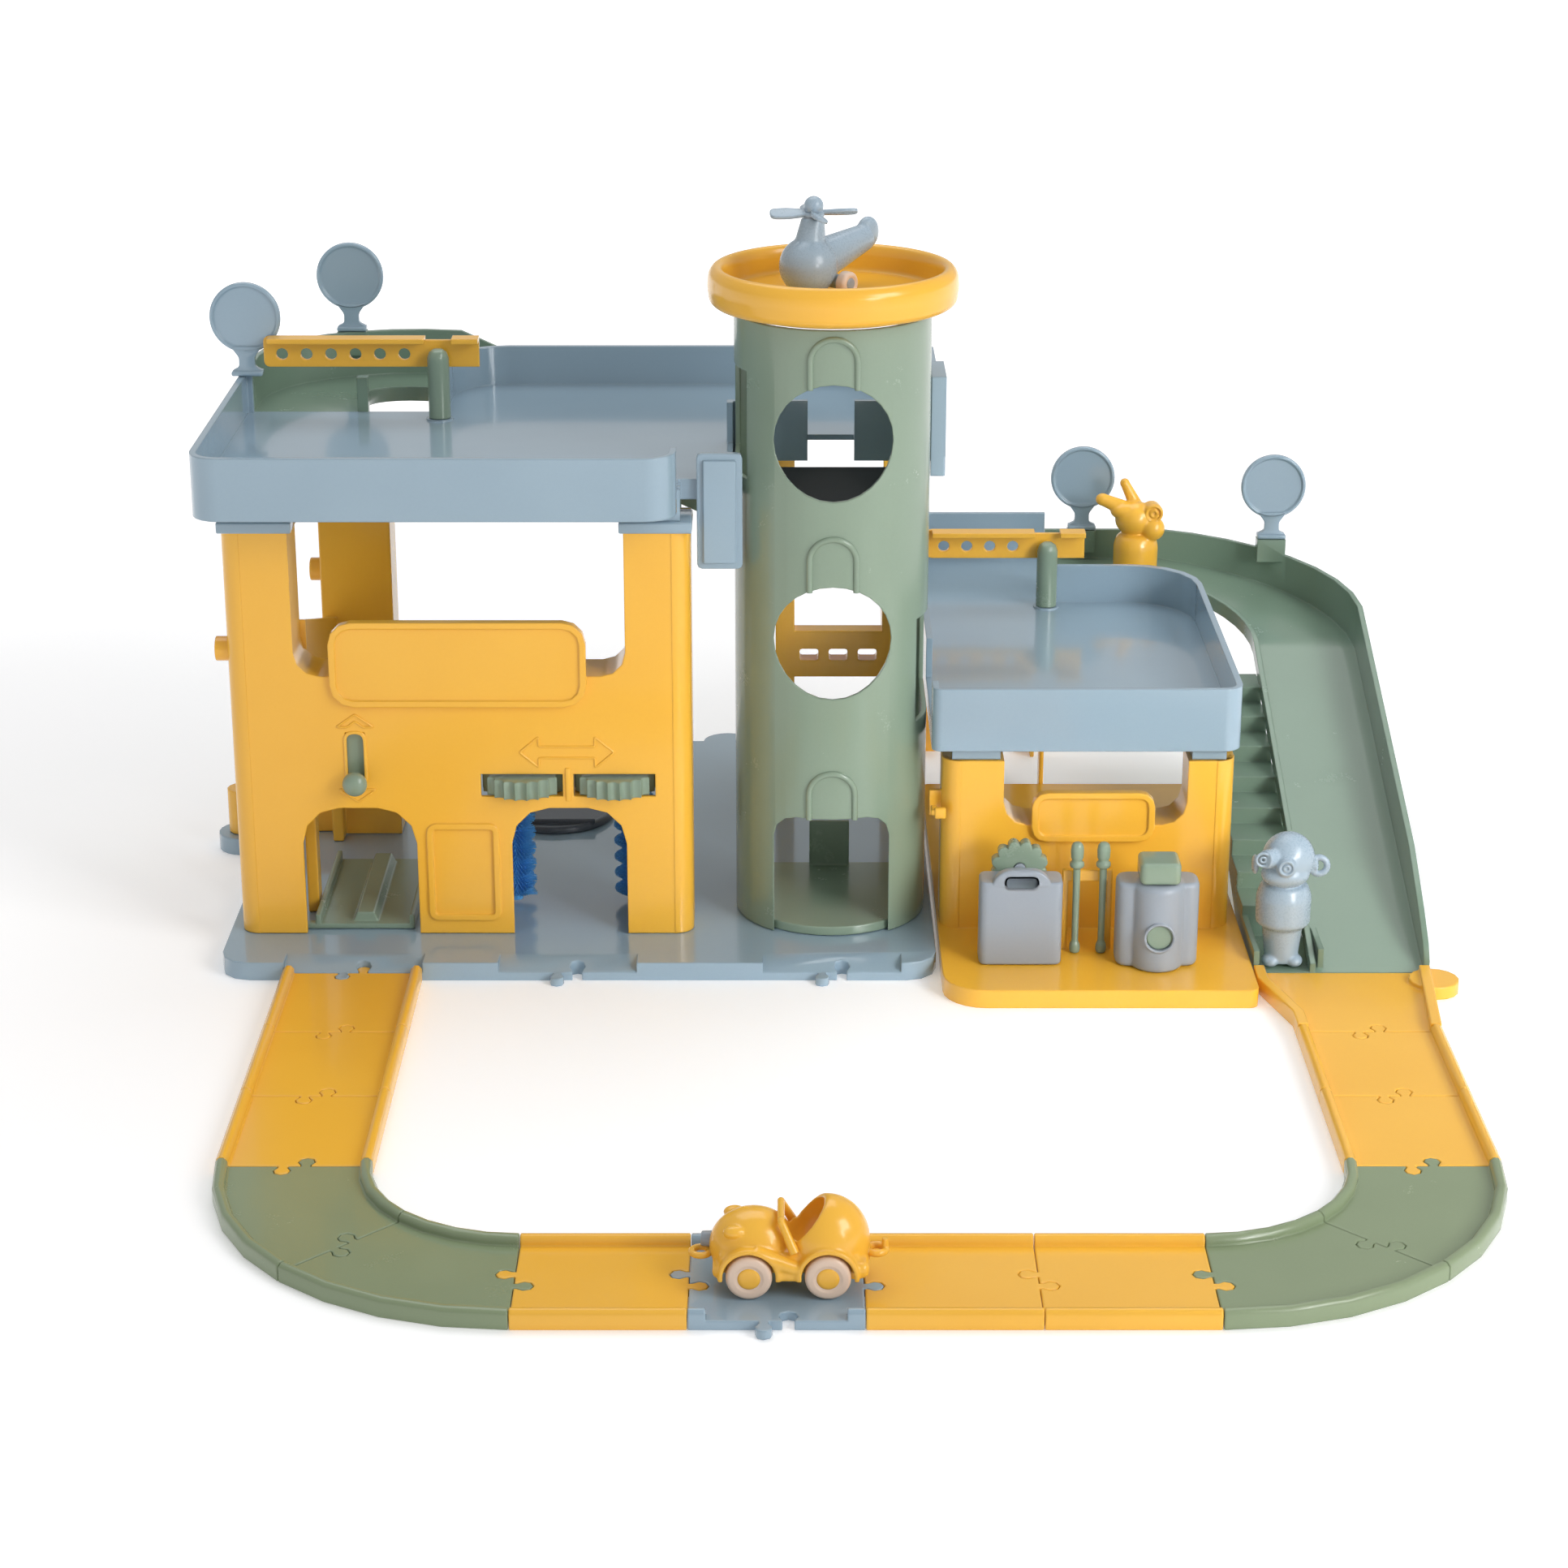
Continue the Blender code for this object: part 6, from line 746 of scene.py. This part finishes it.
# %% Tools
TOOL_PROFILE = [(0, 0), (2.4, 0), (2.9, 1.6), (2.7, 4.6), (1.8, 6.6), (1.9, 44), (1.9, 47.2), (3.6, 48.2),
                (3.9, 49.4), (3.7, 50.6), (2.7, 51.4), (2.8, 52.4), (3.3, 53.2), (3.5, 57.4), (3.0, 60.4),
                (1.8, 61.7), (0, 61.7)]
for side, x in (("left", 127.8), ("right", 141.6)):
    tool = placed(lathe(eased(TOOL_PROFILE, 0.6), 40), (x, -69.5, FOOT_TOP))
    settle("stirring_tool_" + side, tool, GREEN, "tool_" + side, ("tool_" + side,))
print("tool:", made["stirring_tool_left"], "faces")

# %% [markdown]
# ## Round signs
# Each sign is a thin turned disc with a raised rim round a bare sunken field, on a flared foot that plugs
# into its deck. The rim catches a bright ring of light, which is what tells the eye that the field is sunk.

# %% Signs
SIGN_PLACES = {"sign_1": (-320, 112.5, 277.7), "sign_2": (-276.7, 229.8, 276.9),
               "sign_3": (156.6, 283, 142.3), "sign_4": (269, 258, 143.6)}
DISC_PROFILE = [(0, -2), (18.4, -2), (19.4, -1.2), (19.4, 1.2), (18.8, 2.0), (17.5, 2.0), (16.9, 0.8),
                (0, 0.8)]
STEM = [(-8.5, 0), (8.5, 0), (8.5, 2.6), (4.4, 4.6), (4.2, 10), (8.5, 16), (-8.5, 16), (-4.2, 10),
        (-4.4, 4.6), (-8.5, 2.6)]
for node, place in SIGN_PLACES.items():
    sign = facing_front(lathe(eased(DISC_PROFILE, 0.5), 96), (0, 0, 32))
    stem = facing_front(slab(eased(STEM, 1.6, 5, closed=True), -2, 2, 0.5, 3))
    foot = block((-8.5, -4.5, 0), (8.5, 4.5, 2.6), 0.9, 3)
    settle(node + "_disc", placed(gathered(sign, stem, foot), place), BLUE, "garage", (node,))
print("four signs set, each", made["sign_1_disc"], "faces")

# %% [markdown]
# ## Wash brushes
# A real wash brush is a twisted spiral of stiff fibres on a core. Thirteen hundred thin tapered strands
# stand out from the core in a rising helix, and their reach swells and shrinks slowly so that the spiral
# shows.


# %% Brushes
TUFT_FOOT, TUFT_HEIGHT, TUFT_RADIUS = 14.6, 69.0, 11.4
CORE_RADIUS = 3.0
SPIRAL_PITCH = 9.2


def brush(rows=44, around=30):
    strand = bmesh.new()
    bmesh.ops.create_cone(strand, cap_ends=True, segments=3, radius1=0.55 * MM, radius2=0.42 * MM, depth=1.0)
    lying = Matrix.Rotation(math.pi / 2, 3, "Y")
    bmesh.ops.rotate(strand, cent=(0, 0, 0), matrix=lying, verts=strand.verts)
    mesh = bpy.data.meshes.new("strand")
    strand.to_mesh(mesh)
    strand.free()
    hair = bmesh.new()
    for i in range(rows * around):
        turn = math.tau * (i + 0.5 * (i // around % 2)) / around
        height = TUFT_FOOT + TUFT_HEIGHT * i / (rows * around)
        swell = 0.5 + 0.5 * math.cos(math.tau * height / SPIRAL_PITCH - turn)
        tip = TUFT_RADIUS - 4.2 * swell ** 1.5
        start = len(hair.verts)
        hair.from_mesh(mesh)
        hair.verts.ensure_lookup_table()
        new = hair.verts[start:]
        reach = (tip - CORE_RADIUS) * MM
        bmesh.ops.scale(hair, vec=(reach, 1, 1), verts=new)
        bmesh.ops.translate(hair, vec=(CORE_RADIUS * MM + reach / 2, 0, height * MM), verts=new)
        bmesh.ops.rotate(hair, cent=(0, 0, 0), matrix=Matrix.Rotation(turn, 3, "Z"), verts=new)
    bpy.data.meshes.remove(mesh)
    return hair


BRUSH_PROFILE = [(0, 12), (3.2, 12), (3.6, 12.6), (3.6, 84), (3.0, 85), (3.0, 88.3), (10.8, 88.3), (11.4, 89),
                 (11.4, 97.6), (10.8, 98.3), (0, 98.3)]
for side, x in (("left", -171.0), ("right", -106.0)):
    node = "wash_brush_" + side
    tuft = placed(gathered(lathe(BRUSH_PROFILE, 48), brush()), (x, 2, 0))
    settle("wash_bristles_" + side, tuft, BRISTLE, node, (node,))
print("one brush:", made["wash_bristles_left"], "faces")

# %% [markdown]
# ## Turntable and hoist knob
# The turntable is a dark disc with a softened edge and two guide ridges. The hoist lever ends in a round
# button that sticks out of its slot in the wall.

# %% Turntable and knob
TABLE_PROFILE = [(0, -5), (5, -5), (5, 0), (34, 0), (34, 2.8), (32.8, 4), (30.6, 4), (30.0, 3.4), (0, 3.4)]
ridges = [block((-24, y - 1.5, 3), (24, y + 1.5, 6), 0.8, 3) for y in (-24.13, 24.13)]
table = gathered(lathe(eased(TABLE_PROFILE, 0.5), 96), *ridges)
settle("turntable_top", placed(table, (-158, 138, 10.3)), DARK, "turntable", ("turntable",))
KNOB_X, KNOB_Z = -249.5, 97.7
knob = gathered(rod((KNOB_X, -49, KNOB_Z), (KNOB_X, -42.5, KNOB_Z), 2.4),
                ball(6.5, (KNOB_X, -52.1, KNOB_Z), (1, 0.8, 1)))
settle("hoist_knob", knob, GREEN, "hoist", ())
print("turntable:", made["turntable_top"], "faces, knob:", made["hoist_knob"])

# %% [markdown]
# ## The large mouldings
# Walls, decks, ramps and roads already have the right form. They only need their edges rounded by about
# half a millimetre. The decks and the base get the glossier blue and the bends of the road their own green;
# the ramps get the darker copy of the sage green, which is painted shade.

# %% Rounding the other solids
NODE_FINISH = {node: MOSS for node in frame["nodes"] if "curve" in node}
# painted shade: the two ramps get the darker copy of the sage green plastic
NODE_FINISH.update({"slide_ramp": SHADED_RAMP_GREEN, "upper_ramp": SHADED_RAMP_GREEN})
for node in frame["nodes"]:
    if node not in redrawn:
        slot = node_slot(node)
        moulded(node, NODE_FINISH.get(node, SLOT_FINISH[slot]))
print("pieces:", len(made), "faces:", sum(made.values()))

# %% [markdown]
# ## Raised lines on the walls
# A few marks stand proud of the walls: an upside-down U above each opening of the tower, arrows beside the
# hoist lever, and a double arrow over the thumb wheels. All of them are round wires half sunk in the wall:
# the U follows the curve of the tower, and each arrow is a closed loop on the flat front.


# %% Wires on the tower
def wire(points, radius, closed=False):
    curve = bpy.data.curves.new("wire", "CURVE")
    curve.dimensions = "3D"
    curve.bevel_depth = radius * MM
    curve.bevel_resolution = 4
    curve.use_fill_caps = True
    spline = curve.splines.new("POLY")
    spline.points.add(len(points) - 1)
    spline.use_cyclic_u = closed
    for spot, point in zip(spline.points, points):
        spot.co = (*[v * MM for v in point], 1.0)
    holder = bpy.data.objects.new("wire", curve)
    bpy.context.scene.collection.objects.link(holder)
    graph = bpy.context.evaluated_depsgraph_get()
    bm = bmesh.new()
    bm.from_mesh(holder.evaluated_get(graph).to_mesh())
    bpy.data.objects.remove(holder)
    return bm


TOWER_RADIUS = 51.0


def on_tower(x, z):
    return (x, -math.sqrt(TOWER_RADIUS ** 2 - x ** 2) - 0.1, z)


def raised_u(low, high, half=12.0):
    path = [(-half, low), (-half, high - half)]
    for degrees in range(172, 4, -8):
        turn = math.radians(degrees)
        path.append((half * math.cos(turn), high - half + half * math.sin(turn)))
    path += [(half, high - half), (half, low)]
    return wire([on_tower(x, z) for x, z in path], 1.6)


tower_lines = gathered(raised_u(307.4, 333.5), raised_u(201.5, 230), raised_u(77.2, 103))
settle("tower_lines", tower_lines, GREEN, "garage", ())
print("tower lines:", made["tower_lines"], "faces")


# %% Arrows on the left wall
def wall_line(outline):
    path = eased(outline, 1.0, 3, closed=True)
    return wire([(x, -44.2, z) for x, z in path], 0.62, closed=True)


UP = [(-258.8, 126.6), (-253.2, 126.6), (-249.1, 129.8), (-245.0, 126.6), (-239.4, 126.6), (-249.1, 133.6)]
DOWN = [(x, 218.6 - z) for x, z in UP]
DOUBLE = [(-163.6, 112.7), (-153.5, 104.2), (-153.5, 109.6), (-124.1, 109.6), (-124.1, 104.2), (-114, 112.7),
          (-124.1, 121.2), (-124.1, 115.8), (-153.5, 115.8), (-153.5, 121.2)]
marks = gathered(wall_line(UP), wall_line(DOWN), wall_line(DOUBLE))
divider = block((-139.9, -45.0, 85.5), (-137.1, -43.0, 104.0), 0.6)
settle("wall_arrows", gathered(marks, divider), YELLOW, "garage", ())
clip = gathered(block((54.6, -39.6, 73.5), (60.5, -36.2, 79.5), 0.9),
                block((52.8, -38.6, 75.2), (56, -30, 78.2), 0.7))
settle("side_clip", clip, YELLOW, "garage", ())
print("wall arrows:", made["wall_arrows"], "faces")

# %% [markdown]
# ## Pillar corners
# The front corners of the pillars are rounded like a thick candle. Each one gets a tall strip that is a
# quarter of a ring when it is seen from above, finer than the few flats that a solid model can spend on a
# corner.


# %% Round pillar corners
CORNER_OUT, CORNER_IN = 10.1, 7.4
LEFT_SIDE, RIGHT_SIDE = 180, 270


def corner_strip(x, y, start, low, high):
    turns = [math.radians(start + 6 * i) for i in range(16)]
    outline = [(x + CORNER_OUT * math.cos(a), y + CORNER_OUT * math.sin(a)) for a in turns]
    outline += [(x + CORNER_IN * math.cos(a), y + CORNER_IN * math.sin(a)) for a in reversed(turns)]
    return slab(outline, low, high, 0)


strips = gathered(corner_strip(-304.6, -34.1, LEFT_SIDE, 10.3, 237),
                  corner_strip(-83.3, -34.1, RIGHT_SIDE, 10.3, 237),
                  corner_strip(68.5, -26.5, LEFT_SIDE, 9.4, 105),
                  corner_strip(203, -26.5, RIGHT_SIDE, 9.4, 105))
settle("wall_corners", strips, YELLOW, "garage", ())
print("corner strips:", made["wall_corners"], "faces")

# %% [markdown]
# ## Collars, slot lip and a dark sheet of painted shade
# The deck sits on the pillars through shallow collars of its own blue plastic, and the lever slot has a
# round-ended lip. Under the deck, behind the tower, a charcoal sheet is painted shade: it is put where there
# is only deep shadow, so that the upper porthole looks dark. The lift's grip slides up inside it without
# touching it.

# %% Collars, lip and painted shade behind the tower
collars = gathered(block((-315.6, -45.3, 231.4), (-277.4, -18, 237.25), 0.8),
                   block((-109.8, -45.3, 231.4), (-72.3, -18, 237.25), 0.8))
settle("deck_collars", collars, BLUE, "garage", ())
lip_outer = slab(plate_outline(-255.6, -243.4, 94.0, 124.5, 5.6, 8), 41.9, 44.7, 0.4)
lip_hole = slab(plate_outline(-253.9, -245.1, 95.6, 122.9, 4.3, 8), 30, 60, 0)
settle("lever_slot_lip", facing_front(carved(lip_outer, lip_hole)), YELLOW, "garage", ())
# painted shade: a dark charcoal sheet standing in for the deep shadow under the deck behind the tower
shade_skirt = carved(block((-39, 52.8, 204), (39, 69.5, 236.9), 0.8), block((-36, 40, 190), (36, 67.5, 260), 0))
settle("painted_shade_skirt", shade_skirt, DARK, "garage", ())
print("collars:", made["deck_collars"], "faces, skirt:", made["painted_shade_skirt"])

# %% [markdown]
# ## Floor and light
# The set stands on a white studio floor that runs far back, as bright as paper in the sun. The floor glows
# a little by itself, so that it stays white while the toy keeps its own tones. Large soft lights from the
# right and above give the long pale shadow on the left and the wide reflections on the decks.

# %% Floor
floor_mesh = bmesh.new()
bmesh.ops.create_grid(floor_mesh, x_segments=8, y_segments=8, size=30.0)
floor_data = bpy.data.meshes.new("floor")
floor_mesh.to_mesh(floor_data)
floor_mesh.free()
floor = bpy.data.objects.new("floor", floor_data)
bpy.context.scene.collection.objects.link(floor)
paper = Finish("pale_floor")
paper_where = paper.add("ShaderNodeTexCoord", out=3)
paper_mix = paper.add("ShaderNodeMix", {"data_type": "RGBA"},
                      {"Factor": noise(paper, paper_where, 3.0), 6: (0.92, 0.92, 0.93, 1),
                       7: (0.89, 0.89, 0.90, 1)}, out=2)
away = paper.add("ShaderNodeVectorMath", {"operation": "LENGTH"}, {0: paper_where}, out=1)
glow = paper.add("ShaderNodeMapRange", {"interpolation_type": "SMOOTHSTEP"},
                 {"Value": away, "From Min": 0.4, "From Max": 2.2, "To Min": 0.22, "To Max": 0.75})
paper.add("ShaderNodeOutputMaterial", None,
          {"Surface": paper.add("ShaderNodeBsdfPrincipled", None,
                                {"Base Color": paper_mix, "Roughness": 0.6, "Emission Color": glow,
                                 "Emission Strength": 1.0})})
floor_data.materials.append(paper.material)
print("floor laid, its glow grows with the distance from the tower")


# %% Lights
def softbox(name, place, target, size, watts, spread=180):
    lamp = bpy.data.lights.new(name, "AREA")
    lamp.spread = math.radians(spread)
    lamp.shape = "RECTANGLE"
    lamp.size, lamp.size_y = size
    lamp.energy = watts
    stand = bpy.data.objects.new(name, lamp)
    stand.location = place
    stand.rotation_euler = (Vector(target) - Vector(place)).to_track_quat("-Z", "Y").to_euler()
    bpy.context.scene.collection.objects.link(stand)


softbox("key_softbox", (1.9, -1.5, 1.6), (0, 0, 0.1), (1.2, 1.2), 29)
softbox("side_softbox", (0.95, -1.15, 0.5), (0.2, -0.05, 0.06), (0.5, 0.4), 0.45, 30)
softbox("top_softbox", (-0.2, 0.9, 2.4), (0, 0, 0.1), (2.2, 1.6), 20)
world = bpy.data.worlds.new("studio")
world.use_nodes = True
world.node_tree.nodes["Background"].inputs["Color"].default_value = (1.0, 1.0, 1.0, 1.0)
world.node_tree.nodes["Background"].inputs["Strength"].default_value = 0.52
bpy.context.scene.world = world
print("three soft lights and an even sky")
